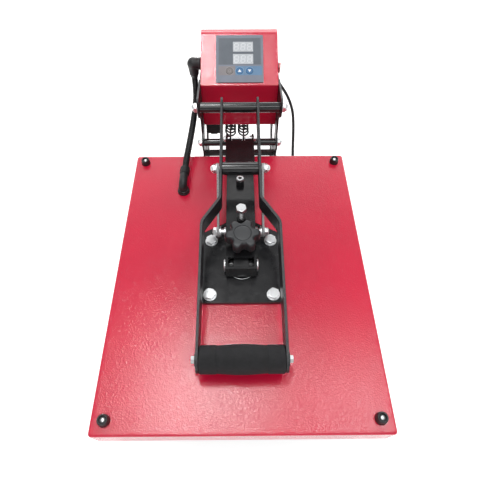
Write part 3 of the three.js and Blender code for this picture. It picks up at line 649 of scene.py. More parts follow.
# gland on the rear cover: flange, body with grip ribs, tapering relief with rings
pt = Parts()
v, f = lathe([(0.1, 0), (0.1, 11), (2.4, 11), (2.9, 10.4), (2.9, 8.6), (3.2, 8.4)] +
             [(3.2 + 0.35 + i * 1.55 + d, 8.3 - i * 0.24 - g) for i in range(6) for d, g in ((0, 0), (0.85, 0), (0.95, 0.9), (1.4, 0.9))] +
             [(12.8, 6.3), (13.0, 4.2), (13.0, 0)], 48)
pt.add(v, f, 0, about("y", 55, 452, 45))
gland = pt.build("cord_strain_relief", [MOULD], "frame")
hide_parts("cord_gland")

# two-pin plug lying beside the coil, its body waisted where fingers hold it
pt = Parts()
rings = []
for t, half, high in ((0.0, 5.0, 5.0), (0.6, 7.5, 6.6), (2.5, 10.0, 7.8), (7, 12.2, 8.5), (14, 12.6, 8.6), (21, 12.4, 8.5), (27, 13.6, 8.6),
                      (32, 14.7, 8.75), (36.6, 14.9, 8.8), (37.6, 14.5, 8.5), (37.8, 13.6, 7.6)):
    y = 285.3 - t
    ring = []
    for x, z in rounded(141 - half, 141 + half, -140.85 - high, -140.85 + high, min(half, high) * 0.78, 6):
        ring.append(W(x, y, z))
    rings.append(ring)
v, f = rings_mesh(rings)
pt.add(v, f, 0)
v, f = lathe([(-0.6, 0), (-0.6, 4.45), (0.8, 4.45)] + [(0.8 + i * 1.5 + d, 4.4 - 0.07 * i - g) for i in range(3) for d, g in ((0, 0), (0.8, 0), (0.95, 0.6), (1.35, 0.6))] +
             [(5.9, 4.1), (6.6, 3.8), (6.7, 0)], 32)
pt.add(v, f, 0, about("y", 141, 285.2, -140.85))
for x in (133.5, 148.5):
    v, f = prism([(x - 0.95, -0.6), (x + 0.95, -0.6), (x + 0.95, 16.2), (x + 0.55, 17.6), (x - 0.55, 17.6), (x - 0.95, 16.2)], -2.4, 2.4)
    m = Matrix.Translation(W(0, 247.5, -141.4)) @ Matrix.Rotation(math.pi, 4, "X") @ Matrix.Scale(0.001, 4)
    pt.add(v, f, 1, m)
plug = pt.build("mains_plug", [RUBBER, ZINC], "frame")
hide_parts("power_plug")


# ---------------------------------------------------------------- heater hose
HOSE_PATH = [(-90.5, 386, 99.0), (-90.6, 384.4, 80), (-91.2, 372, 56.5), (-94, 343, 40), (-97.5, 302, 32.5), (-101.5, 256, 29),
             (-104.5, 228, 25), (-105.8, 209, 21.9)]
path = resample([W(*p) for p in HOSE_PATH], 0.00074)
PITCH = 4  # steps in each corrugation


def ridge(i):
    k = (i % PITCH) / PITCH
    return 0.00585 + 0.00052 * math.cos(TAU * k)


v, f = sweep(path, ridge, 20)
hose = make("corrugated_hose", v, f, HOSE, None, smooth=50)
hose_line = [tuple(p) for p in path[::4]] + [tuple(path[-1])]
HOSE_LENGTH = sum((b - a).length for a, b in zip(path, path[1:]))
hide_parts("heater_hose")
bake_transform(hose)

# upper elbow: socket, ball-shaped body and tapering spigot, moulded in one
pt = Parts()
v, f = lathe([(-1.5, 0), (-1.5, 10.9), (0.2, 11.3), (8.0, 11.4), (8.6, 11.0), (10.2, 11.0), (10.6, 11.4), (15.6, 11.4), (16.0, 11.1), (16.0, 0)], 56)
pt.add(v, f, 0, about("x", -90.5, 386, 125.5))
v, f = lathe([(-28.0, 0), (-28.0, 6.9), (-27.6, 7.4), (-26.4, 7.7), (-22.6, 8.5), (-21.8, 9.2), (-21.0, 9.5), (-20.2, 9.5), (-19.8, 9.3), (-6, 10.9), (0, 11.7), (4, 11.2), (8, 8.8), (10.6, 5.3), (11.7, 2.2), (12.0, 0)], 56)
pt.add(v, f, 0, about("z", -90.5, 386, 125.5))
sph = [(12.0 * math.sin(math.radians(a)), 12.0 * math.cos(math.radians(a))) for a in range(-90, 91, 10)]
v, f = lathe([(z, max(r, 0)) for z, r in sph], 56)
pt.add(v, f, 0, about("x", -90.5, 386, 125.5))
elbow = pt.build("hose_elbow_upper", [MOULD], "frame", smooth=40)
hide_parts("upper_hose_elbow")

# lower elbow on the cover: flange nut, bend and ribbed ferrule
pt = Parts()
v, f = lathe([(0.35, 0), (0.35, 11.4), (3.0, 11.4), (3.9, 10.6), (3.9, 8.2), (4.0, 8.0), (12.8, 7.9), (13.0, 7.6)], 48)
pt.add(v, f, 0, about("z", -108.6, 166.5, 0))
v, f = hex_head(19.0, 4.4, 3.9, 0.1, n=60)
pt.add(v, f, 0, about("z", -108.6, 166.5, 0))
bend = resample([W(-108.6, 166.5, 10.5), W(-108.55, 167.2, 15.0), W(-108.2, 171.5, 19.0), W(-107.7, 179.5, 20.6), W(-107.0, 196, 21.2)], 0.0015)
v, f = sweep(bend, 0.0078, 28)
pt.add(v, f, 0)
fer = resample([W(-107.0, 191, 21.1), W(-106.0, 207, 21.4)], 0.00045)
v, f = sweep(fer, lambda i: 0.0088 + (0.0006 if (i // 3) % 2 == 0 else 0.0) * (1 if 3 < i < len(fer) - 4 else 0), 36)
pt.add(v, f, 0)
low = pt.build("hose_elbow_lower", [MOULD], "platen", smooth=40)
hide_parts("lower_hose_elbow")


# ---------------------------------------------------------------- plates
def refine(node, mat, body, bevel=0.35, segments=2, name=None, smooth=35.0, keep=None):
    """The node's own shape with its edges rounded over and its curved walls smoothed."""
    src = NODES[node].data
    me = bpy.data.meshes.new(name or node + "_finished")
    me.from_pydata([tuple(v.co) for v in src.vertices], [], [tuple(p.vertices) for p in src.polygons])
    me.update()
    ob = bpy.data.objects.new(me.name, me)
    scene.collection.objects.link(ob)
    if bevel:
        soften(ob, bevel * 0.001, segments)
    tidy(ob, smooth)
    for m in mat if isinstance(mat, (list, tuple)) else [mat]:
        me.materials.append(m)
    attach(ob, body)
    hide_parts(node)
    return ob


SIDE = {}
for side in ("left", "right"):
    SIDE[side] = refine("side_frame_" + side, BAR_BLACK, "frame", 0.4, 2)
    refine("handle_bar_" + side, BAR_BLACK, "handle", 0.55, 2)
    refine("link_" + side, LINK_BLACK, "link", 0.45, 2)
refine("lift_arm", BLACK, "arm", 0.7, 2)
refine("mounting_plate", BLACK, "platen", 0.5, 2)
refine("tie_bar", BASE_BLACK, "frame", 0.6, 2)
for n in ("cross_tube_front", "cross_tube_rear"):
    refine(n, BASE_BLACK, "frame", 0.9, 2)
refine("lower_platen", BASE_BLACK, "frame", 0.8, 2)
refine("heating_platen", ALU, "platen", 0.8, 2)
refine("limit_switch", MOULD, "frame", 0.5, 2)
refine("solid_state_relay", MOULD, "frame", 0.6, 2)
refine("pressure_block", MOULD, "platen", 0.5, 2)
pad = refine("silicone_pad", SILICONE, "frame", 1.6, 3)


# ---------------------------------------------------------------- cover of the heating platen
def loop(ax, ay, r, n=8):
    return rounded(-ax, ax, -ay, ay, r, n)


def cover_rings():
    out = []
    ax, ay, t, fold = 210.0, 261.0, 1.5, 3.2
    # inner skin from the top down, rim, then outer skin from the bottom up
    for a in (90, 60, 30, 0):
        q = math.radians(a)
        r = fold - t
        out.append((ax - fold + r * math.cos(q), ay - fold + r * math.cos(q), -fold + r * math.sin(q), 3.2))
    out.append((ax - t, ay - t, -41.6, 3.2))
    out.append((ax - t + 0.35, ay - t + 0.35, -42.0, 3.5))
    out.append((ax - 0.35, ay - 0.35, -42.0, 4.4))
    out.append((ax, ay, -41.6, 4.7))
    for a in (0, 15, 30, 45, 60, 75, 90):
        q = math.radians(a)
        out.append((ax - fold + fold * math.cos(q), ay - fold + fold * math.cos(q), -fold + fold * math.sin(q), 4.7))
    rings = []
    for x, y, z, r in out:
        rings.append([W(px, py, z) for px, py in loop(x, y, max(1.2, r), 8)])
    return rings


def cover_piece():
    rings = cover_rings()
    v, f = rings_mesh(rings, cap=False)
    n = len(rings[0])
    pt = Parts()
    pt.add(v, f)
    # the top and its underside, each a flat strip inside its rim ring round one flat face
    for ring, z, flip in ((rings[-1], 0.0, False), (rings[0], -1.5, True)):
        k = len(pt.v)
        pts = [Vector(p) for p in ring]
        inner = [Vector((p.x * 0.985, (p.y - SHIFT_Y * 0.001) * 0.985 + SHIFT_Y * 0.001, p.z)) for p in pts]
        pt.v += pts + inner
        for j in range(n):
            q = (j + 1) % n
            face = (k + j, k + q, k + n + q, k + n + j)
            pt.f.append(face if not flip else tuple(reversed(face)))
            pt.mi.append(0)
        face = tuple(range(k + n, k + 2 * n))
        pt.f.append(face if not flip else tuple(reversed(face)))
        pt.mi.append(0)
    ob = pt.build("platen_cover", [RED], "platen", smooth=40)
    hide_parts("heater_cover")
    return ob


cover = cover_piece()

# corner caps: a black collar round a bright domed screw
for i, (x, y) in enumerate(((-190, 241), (190, 241), (-190, -241), (190, -241))):
    pt = Parts()
    v, f = lathe([(0.05, 0), (0.05, 8.5), (0.5, 8.65), (9.0, 7.75), (10.2, 7.4), (10.85, 6.8), (11.0, 6.1), (10.8, 5.4), (10.2, 4.95), (7.4, 4.75), (7.2, 4.4), (7.2, 0)], 56)
    pt.add(v, f, 0, about("z", x, y, 0))
    v, f = lathe([(7.0, 0), (7.0, 4.1), (7.9, 4.0), (8.8, 3.35), (9.4, 2.4), (9.7, 1.2), (9.8, 0)], 40)
    pt.add(v, f, 1, about("z", x, y, 0))
    pt.build("corner_cap_%d" % (i + 1), [MOULD, ZINC], "platen", smooth=50)


# ---------------------------------------------------------------- fasteners
def dome_nut(pt, x0, s, y, z, af, flat, dome, mi=0):
    v, f = hex_head(af, flat, 0.0, math.pi / 6, both=True)
    m = about("x" if s > 0 else "-x", x0, y, z)
    pt.add(v, f, mi, m)
    r = af / 2 - 0.9
    prof = [(flat - 0.3, 0), (flat - 0.3, r)]
    for k in range(1, 9):
        a = math.pi / 2 * k / 8
        prof.append((flat - 0.1 + dome * math.sin(a), max(0.0, r * math.cos(a)) if k < 8 else 0.0))
    v, f = lathe(prof, 48)
    pt.add(v, f, mi, m)


def rod_x(pt, x0, x1, y, z, r, mi=0, c=0.4, n=40):
    v, f = lathe([(0, 0), (0, r - c), (c, r), (x1 - x0 - c, r), (x1 - x0, r - c), (x1 - x0, 0)], n)
    pt.add(v, f, mi, about("x", x0, y, z))


def washer_x(pt, x0, x1, y, z, ri, ro, mi=0):
    v, f = washer(ri, ro, 0, x1 - x0)
    pt.add(v, f, mi, about("x", x0, y, z))


def thread(r, pitch, z0, z1, depth=0.45):
    prof = [(z0, 0), (z0, r - depth)]
    z = z0
    while z + pitch <= z1:
        prof += [(z + 0.1 * pitch, r - depth), (z + 0.45 * pitch, r), (z + 0.6 * pitch, r), (z + 0.95 * pitch, r - depth)]
        z += pitch
    return prof + [(z1, r - depth), (z1, 0)]


# top shaft, hinge shaft, toggle shaft
pt = Parts()
rod_x(pt, -80, 80, *T, 6.0)
for s in (1, -1):
    dome_nut(pt, s * 79.4, s, *T, 16.6, 5.6, 6.0)
    a, b = sorted((s * 78.25, s * 79.5))
    washer_x(pt, a, b, *T, 6.1, 10.4)
ob = pt.build("top_shaft_and_nuts", [ZINC], "frame")
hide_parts("top_shaft")
pt = Parts()
rod_x(pt, -80, 80, *H, 5.5)
for s in (1, -1):
    dome_nut(pt, s * 79.2, s, *H, 14.8, 4.8, 5.2)
    a, b = sorted((s * 78.25, s * 79.3))
    washer_x(pt, a, b, *H, 5.6, 9.2)
ob = pt.build("hinge_shaft_and_nuts", [ZINC], "frame")
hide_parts("hinge_shaft")
for node, a, b, (y, z), ri, ro in (
    ("top_spacer_left", -74.3, -35.5, T, 6.35, 9.6), ("top_spacer_middle", -30.9, 30.9, T, 6.35, 9.6), ("top_spacer_right", 35.5, 74.3, T, 6.35, 9.6),
    ("hinge_spacer_left", -74.3, -28.8, H, 5.85, 7.6), ("hinge_spacer_right", 28.8, 74.3, H, 5.85, 7.6)):
    pt = Parts()
    washer_x(pt, a, b, y, z, ri, ro)
    pt.v, pt.f = pt.v, pt.f
    ob = pt.build(node + "_tube", [TUBE_BLACK], "frame")
    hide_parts(node)
pt = Parts()
rod_x(pt, -42, 42, *G, 5.0, 1)
v, f = washer(5.2, 11.4, 0, 61.8)
pt.add(v, f, 0, about("x", -30.9, *G))
for s in (1, -1):
    dome_nut(pt, s * 41.6, s, *G, 14.8, 5.0, 5.4, 1)
    a, b = sorted((s * 40.45, s * 41.7))
    washer_x(pt, a, b, *G, 5.1, 9.3, 1)
ob = pt.build("toggle_shaft_and_nuts", [TUBE_BLACK, ZINC], "handle")
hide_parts("toggle_shaft")

# spring rod and spring bar
pt = Parts()
rod_x(pt, -34, 34, *ROD, 3.5)
for s in (1, -1):
    v, f = hex_head(11, 4.1, 0.0, 0.4, both=True)
    pt.add(v, f, 0, about("x" if s > 0 else "-x", s * 28.9, *ROD))
ob = pt.build("spring_rod_and_nuts", [ZINC], "arm")
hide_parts("spring_rod")
pt = Parts()
rod_x(pt, -77.7, 77.7, *BACK, 3.5)
for s in (1, -1):
    a, b = sorted((s * 73.2, s * 74.3))
    washer_x(pt, a, b, *BACK, 3.4, 6.2)
ob = pt.build("spring_bar_and_clips", [ZINC], "frame")
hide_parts("spring_bar")

# trunnion of the lower link pivot with collars, and the bolt heads outside the links
pt = Parts()
rod_x(pt, -36.2, 36.2, *L, 5.0)
for s in (1, -1):
    for a, b, r in ((25.4, 26.9, 8.2), (27.1, 28.4, 8.2), (33.6, 36.2, 9.4)):
        p, q = sorted((s * a, s * b))
        washer_x(pt, p, q, *L, 4.9, r)
ob = pt.build("trunnion_and_collars", [ZINC], "arm")
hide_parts("link_trunnion")
pt = Parts()
for s in (1, -1):
    a, b = sorted((s * 40.5, s * 41.7))
    washer_x(pt, a, b, *L, 0.5, 8.4)
    v, f = hex_head(13, 5.6, 0.0, 0.25)
    pt.add(v, f, 0, about("x" if s > 0 else "-x", s * 41.6, *L))
    v, f = lathe([(5.4, 0), (5.4, 3.6), (6.4, 3.2), (6.9, 0)], 32)
    pt.add(v, f, 0, about("x" if s > 0 else "-x", s * 41.6, *L))
pt.build("link_bolts", [ZINC], "link")

# front pivot pin with its two wide heads; the pin is given the black moulded material as painted shade where it shows
# in the arm's opening
pt = Parts()
# black pin: painted shade inside the arm; the heads stay zinc
rod_x(pt, -26, 26, *P, 5.0, 1)
for s in (1, -1):
    v, f = lathe([(0, 0), (0, 9.9), (0.5, 10.5), (2.0, 10.5), (2.6, 9.9), (2.8, 6.2), (2.8, 5.6), (2.3, 5.2), (2.3, 0)], 48)
    pt.add(v, f, 0, about("x" if s > 0 else "-x", s * 25.5, *P))
ob = pt.build("front_pivot_pin_and_heads", [ZINC, MOULD], "platen")
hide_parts("front_pivot_pin")
# turned boss under the block: a zinc rim round a gloss black top, the black a painted shade for the shadow under the
# arm
pt = Parts()
v, f = lathe([(6.33, 24.0), (6.33, 25.3), (6.42, 25.65), (6.60, 25.6), (6.72, 25.15), (6.72, 24.6), (6.62, 24.0)], 96)
pt.add(v, f, 0, about("z", 1.4, -2.1, 0))
# black top: painted shade under the arm and block
v, f = lathe([(6.33, 0), (6.33, 24.1), (6.65, 24.1), (6.65, 0)], 96)
pt.add(v, f, 1, about("z", 1.4, -2.1, 0))
pt.build("block_boss", [ZINC, TUBE_BLACK], "platen")

# mounting bolts with washers
for i, (x, y) in enumerate(BOLTS):
    pt = Parts()
    v, f = washer(5.0, 10.6, 6.4, 8.0)
    pt.add(v, f, 0, about("z", x, y, 0))
    v, f = hex_head(16.8, 6.3, 7.9, (0.03, -0.05, 0.3, 0.12)[i])
    pt.add(v, f, 0, about("z", x, y, 0))
    v, f = lathe([(-45, 0), (-45, 4.8), (7.9, 4.8), (7.9, 0)], 24)
    pt.add(v, f, 0, about("z", x, y, 0))
    ob = pt.build("mounting_bolt_%d_finished" % (i + 1), [ZINC], "platen")
    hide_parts("mounting_bolt_%d" % (i + 1))

# stop bolt: hexagon head on a threaded shank, with a blackened lock nut
pt = Parts()
v, f = hex_head(15.8, 6.5, 62.8, 0.18)
pt.add(v, f, 0, about("z", *STOP, 0))
v, f = lathe(thread(4.0, 1.25, 27.0, 62.9), 32)
pt.add(v, f, 0, about("z", *STOP, 0))
v, f = hex_head(13, 5.0, 36.3, 0.4, both=True)
pt.add(v, f, 1, about("z", *STOP, 0))
ob = pt.build("stop_bolt_finished", [ZINC, MOULD], "arm")
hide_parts("stop_bolt")

# adjuster on the arm's rear slope: bright socket screw in a black collar
nrm = Vector((0, 17, 157)).normalized()
pt = Parts()
mt = about(nrm, -0.5, 156, 33.0)
v, f = lathe([(-0.3, 0), (-0.3, 6.9), (0.3, 7.3), (9.3, 7.3), (9.8, 6.9), (9.8, 4.2), (9.8, 0)], 40)
pt.add(v, f, 1, mt)
v, f = hex_head(12.9, 4.6, 9.7, 0.15, socket=(3.5, 3.4), n=48)
pt.add(v, f, 0, mt)
v, f = lathe([(10.9, 0), (10.9, 3.45), (11.3, 3.45), (11.3, 0)], 24)
pt.add(v, f, 1, mt)
pt.build("adjuster_screw", [ZINC, MOULD], "arm")

# pressure screw and knob
pt = Parts()
v, f = lathe(thread(7.0, 1.75, 10.6, 57.4, 0.7), 40)
pt.add(v, f, 0, about("z", *KNOB, 0))
ob = pt.build("pressure_screw_thread", [ZINC_DULL], "pressure_knob")
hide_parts("pressure_screw")


def knob_piece():
    n = 168

    def lobed(a):
        c = math.cos(6 * (a - 0.105))
        return 24.9 + 4.4 * math.tanh(1.5 * c + 0.1)

    # height, share of the lobed outline, inset from it or radius of the circle
    prof = [(39.2, 0, 0.0), (39.2, 0, 10.7), (39.6, 0, 11.3), (45.2, 0, 15.6), (46.4, 0.25, 17.0), (46.9, 0.7, 19.5), (47.1, 1, 4.6), (47.6, 1, 2.4),
            (48.9, 1, 0.9), (50.6, 1, 0.15), (52.5, 1, 0.0), (61.5, 1, 0.0), (63.6, 1, 0.25), (65.3, 1, 0.95), (66.5, 1, 2.1), (67.2, 1, 3.6),
            (67.45, 0.8, 20.6), (67.5, 0.35, 18.2), (67.5, 0, 16.2), (67.45, 0, 14.75), (66.9, 0, 14.55), (66.45, 0, 14.4), (66.45, 0, 14.0), (66.9, 0, 13.85),
            (67.3, 0, 13.6), (67.6, 0, 12.2), (67.8, 0, 9.5), (67.93, 0, 6.0), (68.0, 0, 2.5), (68.0, 0, 0.0)]
    rings = []
    for z, share, val in prof:
        ring = []
        for j in range(n):
            a = TAU * j / n
            if share >= 1:
                r = lobed(a) - val
            elif share > 0:
                r = (1 - share) * val + share * (lobed(a) - 5.2)
                r = min(r, lobed(a) - 3.4) if z > 60 else r
            else:
                r = val
            ring.append((KNOB[0] + r * math.cos(a), KNOB[1] + r * math.sin(a), z))
        rings.append([W(*p) for p in ring])
    v, f = rings_mesh(rings, cap=False)
    ob = make("pressure_knob_finished", v, f, KNOB_GREY, "pressure_knob", smooth=48)
    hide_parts("pressure_knob")


knob_piece()

# ---------------------------------------------------------------- grip
prof = [(-59.9, 6.5), (-59.9, 17.6), (-59.7, 18.4), (-59.2, 19.1), (-58.4, 19.6), (-57.2, 19.8), (-40, 19.85), (-36.9, 19.75), (-36.0, 19.55), (-35.5, 19.2), (-35.2, 18.95)]
for k in range(0, 25):
    x = -34.9 + 69.8 * k / 24
    prof.append((x, 19.0 + 1.9 * math.cos(math.pi * x / 76) ** 1.3 if abs(x) < 34.9 else 19.0))
prof += [(35.2, 18.95), (35.5, 19.2), (36.0, 19.55), (36.9, 19.75), (40, 19.85), (57.2, 19.8), (58.4, 19.6), (59.2, 19.1), (59.7, 18.4), (59.9, 17.6), (59.9, 6.5)]
v, f = lathe(prof, 96, closed=True)
mt = about("x", 0, *K)
grip = make("foam_grip", [mt @ Vector(p) for p in v], f, FOAM, "handle", smooth=60)
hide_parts("handle_grip")
pt = Parts()
rod_x(pt, -65.3, 65.3, *K, 6.0)
for s in (1, -1):
    a, b = sorted((s * 64.7, s * 66.3))
    washer_x(pt, a, b, *K, 6.05, 10.0, 1)
    a, b = sorted((s * 60.0, s * 60.28))
    v, f = hex_head(10.4, 5.2, 0.0, 0.5 + 0.3 * s)
    pt.add(v, f, 0, about("x" if s > 0 else "-x", s * 66.2, *K))
ob = pt.build("grip_rod_and_heads", [ZINC, MOULD], "handle")
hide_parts("grip_rod")

# ---------------------------------------------------------------- return springs
for name, x in (("spring_left", -19.2), ("spring_right", 7.6)):
    a = Vector((0, BACK[0] - ROD[0], BACK[1] - ROD[1]))
    ln = a.length
    a.normalize()
    p = Vector((0, -a.z, a.y))
    o = Vector((x, *ROD))
    at = lambda s, q, r: o + a * s + p * q + Vector((r, 0, 0))
    pts = [at(5.8 * math.cos(math.radians(t)), 5.8 * math.sin(math.radians(t)), 0) for t in (-40, -90, -140, 170, 120, 70)]
    pts.append(at(12, 7.4, 0.4))
    n = 8 * 16
    for i in range(n + 1):
        q = TAU * 8 * i / n
        pts.append(at(22.7 + (ln - 38.7) * i / n, 10.2 * math.cos(q), 10.2 * math.sin(q)))
    pts.append(at(ln - 10, 7.6, -0.4))
    pts += [at(ln + 5.8 * math.cos(math.radians(t)), 5.8 * math.sin(math.radians(t)), 0) for t in (110, 60, 10, -40, -90, -140)]
    line = resample([W(*q) for q in pts], 0.0016)
    v, f = sweep(line, 0.0017, 10)
    ob = make(name + "_wire", v, f, SPRING, None, smooth=60)
    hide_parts(name)
    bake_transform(ob)

# ---------------------------------------------------------------- feet
for i, (x, y) in enumerate(((-94, -205), (94, -205), (-94, 296), (94, 296))):
    v, f = lathe([(-150, 0), (-150, 15.6), (-149.4, 17.0), (-148.2, 17.7), (-146.8, 17.6), (-133.4, 14.9), (-132.6, 14.4), (-132.3, 13.6), (-132.3, 3.9), (-137.5, 3.9), (-137.5, 0)], 48)
    pt = Parts()
    pt.add(v, f, 0, about("z", x, y, 0))
    v, f = hex_head(10, 4.2, -128.4, 0.3)
    pt.add(v, f, 1, about("z", x, y, 0))
    v, f = lathe([(-137.4, 0), (-137.4, 3.1), (-128.3, 3.1), (-128.3, 0)], 20)
    pt.add(v, f, 1, about("z", x, y, 0))
    ob = pt.build("foot_%d" % (i + 1), [RUBBER, ZINC_DULL], "frame")
    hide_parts("rubber_foot_%d" % (i + 1))


# ---------------------------------------------------------------- control box
def film(name, base, rough=0.42, grain=2600.0, depth=0.000012):
    m, nt, b = material(name, base, rough, 0.0, 0.16)
    vary(nt, b, base, 0.05, 55.0)
    bump(nt, b, noise_tex(nt, grain, 2.0, 0.6), 0.4, depth)
    nt.links.new(remap(nt, noise_tex(nt, 60.0, 3.0), 0.3, 0.7, rough - 0.04, rough + 0.05), b.inputs["Roughness"])
    return m


PANEL_FILM = film("panel_film_slate", (0.215, 0.235, 0.285))
PANEL_DARK = film("panel_film_dark", (0.138, 0.156, 0.180))
PANEL_TAUPE = film("panel_film_taupe", (0.255, 0.235, 0.245))
PANEL_BLUE = film("panel_film_blue", (0.145, 0.250, 0.390))
RING_TAUPE = film("key_ring_taupe", (0.33, 0.31, 0.315))
RING_BLUE = film("key_ring_blue", (0.20, 0.33, 0.49))
KEY_TAUPE = film("key_taupe_plastic", (0.205, 0.188, 0.186), 0.36)
KEY_BLUE = film("key_blue_plastic", (0.070, 0.175, 0.335), 0.36)
MARK_WHITE = film("mark_white", (0.83, 0.86, 0.90), 0.4)
DISPLAY = film("display_face", (0.51, 0.535, 0.565), 0.32)
SEGMENT = film("display_segment_unlit", (0.64, 0.66, 0.685), 0.30)
SEPARATOR = film("display_separator", (0.40, 0.42, 0.45), 0.3)

refine("control_box_case", BOX_RED, "frame", 0.62, 3)
refine("control_box_rear_cover", BOX_RED, "frame", 0.3, 2)
refine("control_panel", PANEL_FILM, "frame", 0.28, 2)
refine("rocker_bezel", MOULD, "frame", 0.35, 2)
refine("rocker_switch", SWITCH_RED, "rocker", 0.4, 3)


def grid_slab(xs, ys, skip, z0, z1):
    """A closed slab over a grid of cells, without the cells in skip."""
    nx, ny = len(xs), len(ys)
    verts = [(x, y, z) for z in (z0, z1) for y in ys for x in xs]
    at = lambda i, j, k: k * nx * ny + j * nx + i
    keep = lambda i, j: 0 <= i < nx - 1 and 0 <= j < ny - 1 and (i, j) not in skip
    faces = []
    for j in range(ny - 1):
        for i in range(nx - 1):
            if not keep(i, j):
                continue
            faces.append((at(i, j, 1), at(i + 1, j, 1), at(i + 1, j + 1, 1), at(i, j + 1, 1)))
            faces.append((at(i, j + 1, 0), at(i + 1, j + 1, 0), at(i + 1, j, 0), at(i, j, 0)))
            for di, dj, a, b in ((0, -1, (i, j), (i + 1, j)), (1, 0, (i + 1, j), (i + 1, j + 1)), (0, 1, (i + 1, j + 1), (i, j + 1)), (-1, 0, (i, j + 1), (i, j))):
                if not keep(i + di, j + dj):
                    faces.append((at(*a, 0), at(*b, 0), at(*b, 1), at(*a, 1)))
    return verts, faces


def plate_hole(x0, x1, y0, y1, cx, cy, r, z0, z1, n=64):
    """A rectangle with a round hole, as a closed slab."""
    ang = [TAU * i / n for i in range(n)] + [math.atan2(y - cy, x - cx) % TAU for x in (x0, x1) for y in (y0, y1)]
    ang = sorted(set(round(a, 6) for a in ang))
    outer, inner = [], []
    for a in ang:
        c, s = math.cos(a), math.sin(a)
        t = min([(x1 - cx) / c if c > 1e-9 else 1e9, (x0 - cx) / c if c < -1e-9 else 1e9,
                 (y1 - cy) / s if s > 1e-9 else 1e9, (y0 - cy) / s if s < -1e-9 else 1e9])
        outer.append((cx + c * t, cy + s * t))
        inner.append((cx + c * r, cy + s * r))
    m = len(ang)
    rings = [[(x, y, z0) for x, y in inner], [(x, y, z0) for x, y in outer], [(x, y, z1) for x, y in outer], [(x, y, z1) for x, y in inner]]
    verts = [p for q in rings for p in q]
    faces = [(k * m + j, k * m + (j + 1) % m, ((k + 1) % 4) * m + (j + 1) % m, ((k + 1) % 4) * m + j) for k in range(4) for j in range(m)]
    return verts, faces


# printed zones of the film
N = 2.3
KEY_V = 28.6
pt = Parts()
v, f = grid_slab([-39.7, -12.2, 26.6, 41.0], [41.4, 42.5, 63.6, 67.8, 88.6, 95.6], {(1, 1), (1, 3)}, N - 0.02, N + 0.045)
pt.add(v, f, 0, SLOPE)
v, f = plate_hole(-39.7, -7.9, 19.9, 38.2, -18.8, KEY_V, 7.32, N - 0.02, N + 0.045)
pt.add(v, f, 1, SLOPE)
v, f = plate_hole(-7.4, 9.8, 19.9, 38.2, 0.3, KEY_V, 7.32, N - 0.02, N + 0.045)
pt.add(v, f, 2, SLOPE)
v, f = plate_hole(10.3, 42.6, 19.9, 38.2, 19.3, KEY_V, 7.32, N - 0.02, N + 0.045)
pt.add(v, f, 2, SLOPE)
for x, mi in ((-18.8, 3), (0.3, 4), (19.3, 4)):
    v, f = washer(7.34, 8.7, N + 0.03, N + 0.16, 0.06, 64)
    pt.add(v, f, mi, SLOPE @ Matrix.Translation((x, KEY_V, 0)))
pt.build("panel_print", [PANEL_DARK, PANEL_TAUPE, PANEL_BLUE, RING_TAUPE, RING_BLUE], "frame", smooth=30)


def seven(cx, cy, w, h, t, slant, z0, z1, gap=0.28):
    """The seven bars of one figure, each a pointed slab."""
    hw, hh = w / 2 - t / 2, h / 2 - t / 2
    pts = {"a": ((-hw, hh), (hw, hh)), "g": ((-hw, 0), (hw, 0)), "d": ((-hw, -hh), (hw, -hh)),
           "f": ((-hw, hh), (-hw, 0)), "b": ((hw, hh), (hw, 0)), "e": ((-hw, 0), (-hw, -hh)), "c": ((hw, 0), (hw, -hh))}
    out = []
    for (ax, ay), (bx, by) in pts.values():
        d = Vector((bx - ax, by - ay, 0)).normalized()
        p = Vector((-d.y, d.x, 0))
        a, b = Vector((ax, ay, 0)) + d * gap, Vector((bx, by, 0)) - d * gap
        k = t / 2
        loop6 = [a, a + (d + p) * k, b + (p - d) * k, b, b - (d + p) * k, a + (d - p) * k]
        out.append(prism([(cx + q.x + q.y * slant, cy + q.y) for q in loop6][::-1], z0, z1))
    return out


for k, (v0, v1) in enumerate(((67.8, 88.6), (42.5, 63.6))):
    pt = Parts()
    v, f = grid_slab([-12.0, 26.4], [v0 + 0.2, v1 - 0.2], set(), 1.68, 1.9)
    pt.add(v, f, 0, SLOPE)
    mid = (v0 + v1) / 2 - 0.2
    for x in (-5.6, 7.1, 19.8):
        for v, f in seven(x, mid, 9.2, 15.2, 1.9, 0.09, 1.88, 1.95):
            pt.add(v, f, 1, SLOPE)
        v, f = lathe([(1.88, 0), (1.88, 0.85), (1.95, 0.85), (1.95, 0)], 20)
        pt.add(v, f, 1, SLOPE @ Matrix.Translation((x + 5.7, mid - 7.2, 0)))
    for x in (0.9, 13.6):
        v, f = grid_slab([x - 0.13, x + 0.13], [v0 + 0.6, v1 - 0.6], set(), 1.88, 1.93)
        pt.add(v, f, 2, SLOPE)
    pt.build("display_%d" % (k + 1), [DISPLAY, SEGMENT, SEPARATOR], "frame", smooth=30)

# three keys: a low dome in the film's hole, the two blue ones with a white arrow
for node, x, mat, body, slot, sign in (("set_button", -18.8, KEY_TAUPE, "set_key", "key_taupe", 0), ("up_button", 0.3, KEY_BLUE, "up_key", "key_blue", 1), ("down_button", 19.3, KEY_BLUE, "down_key", "key_blue", -1)):
    pt = Parts()
    mt = SLOPE @ Matrix.Translation((x, KEY_V, 0))
    v, f = lathe([(-1.6, 0), (-1.6, 8.4), (0.0, 8.4), (0.0, 6.9), (2.45, 6.9), (2.72, 6.78), (2.88, 6.45), (2.93, 5.9), (2.9, 5.0), (2.86, 3.0), (2.85, 0)], 64)
    pt.add(v, f, 0, mt)
    if sign:
        tri = [(-3.2, -2.5 * sign), (3.2, -2.5 * sign), (0.55, 2.55 * sign), (-0.55, 2.55 * sign)]
        v, f = prism(tri if sign > 0 else tri[::-1], 2.80, 2.95)
        pt.add(v, f, 1, mt)
    else:
        v, f = washer(1.9, 2.5, 2.80, 2.94, 0.03, 40)
        pt.add(v, f, 2, mt)
    ob = pt.build(node + "_finished", [mat, MARK_WHITE, RING_TAUPE], body, smooth=40)
    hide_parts(node)

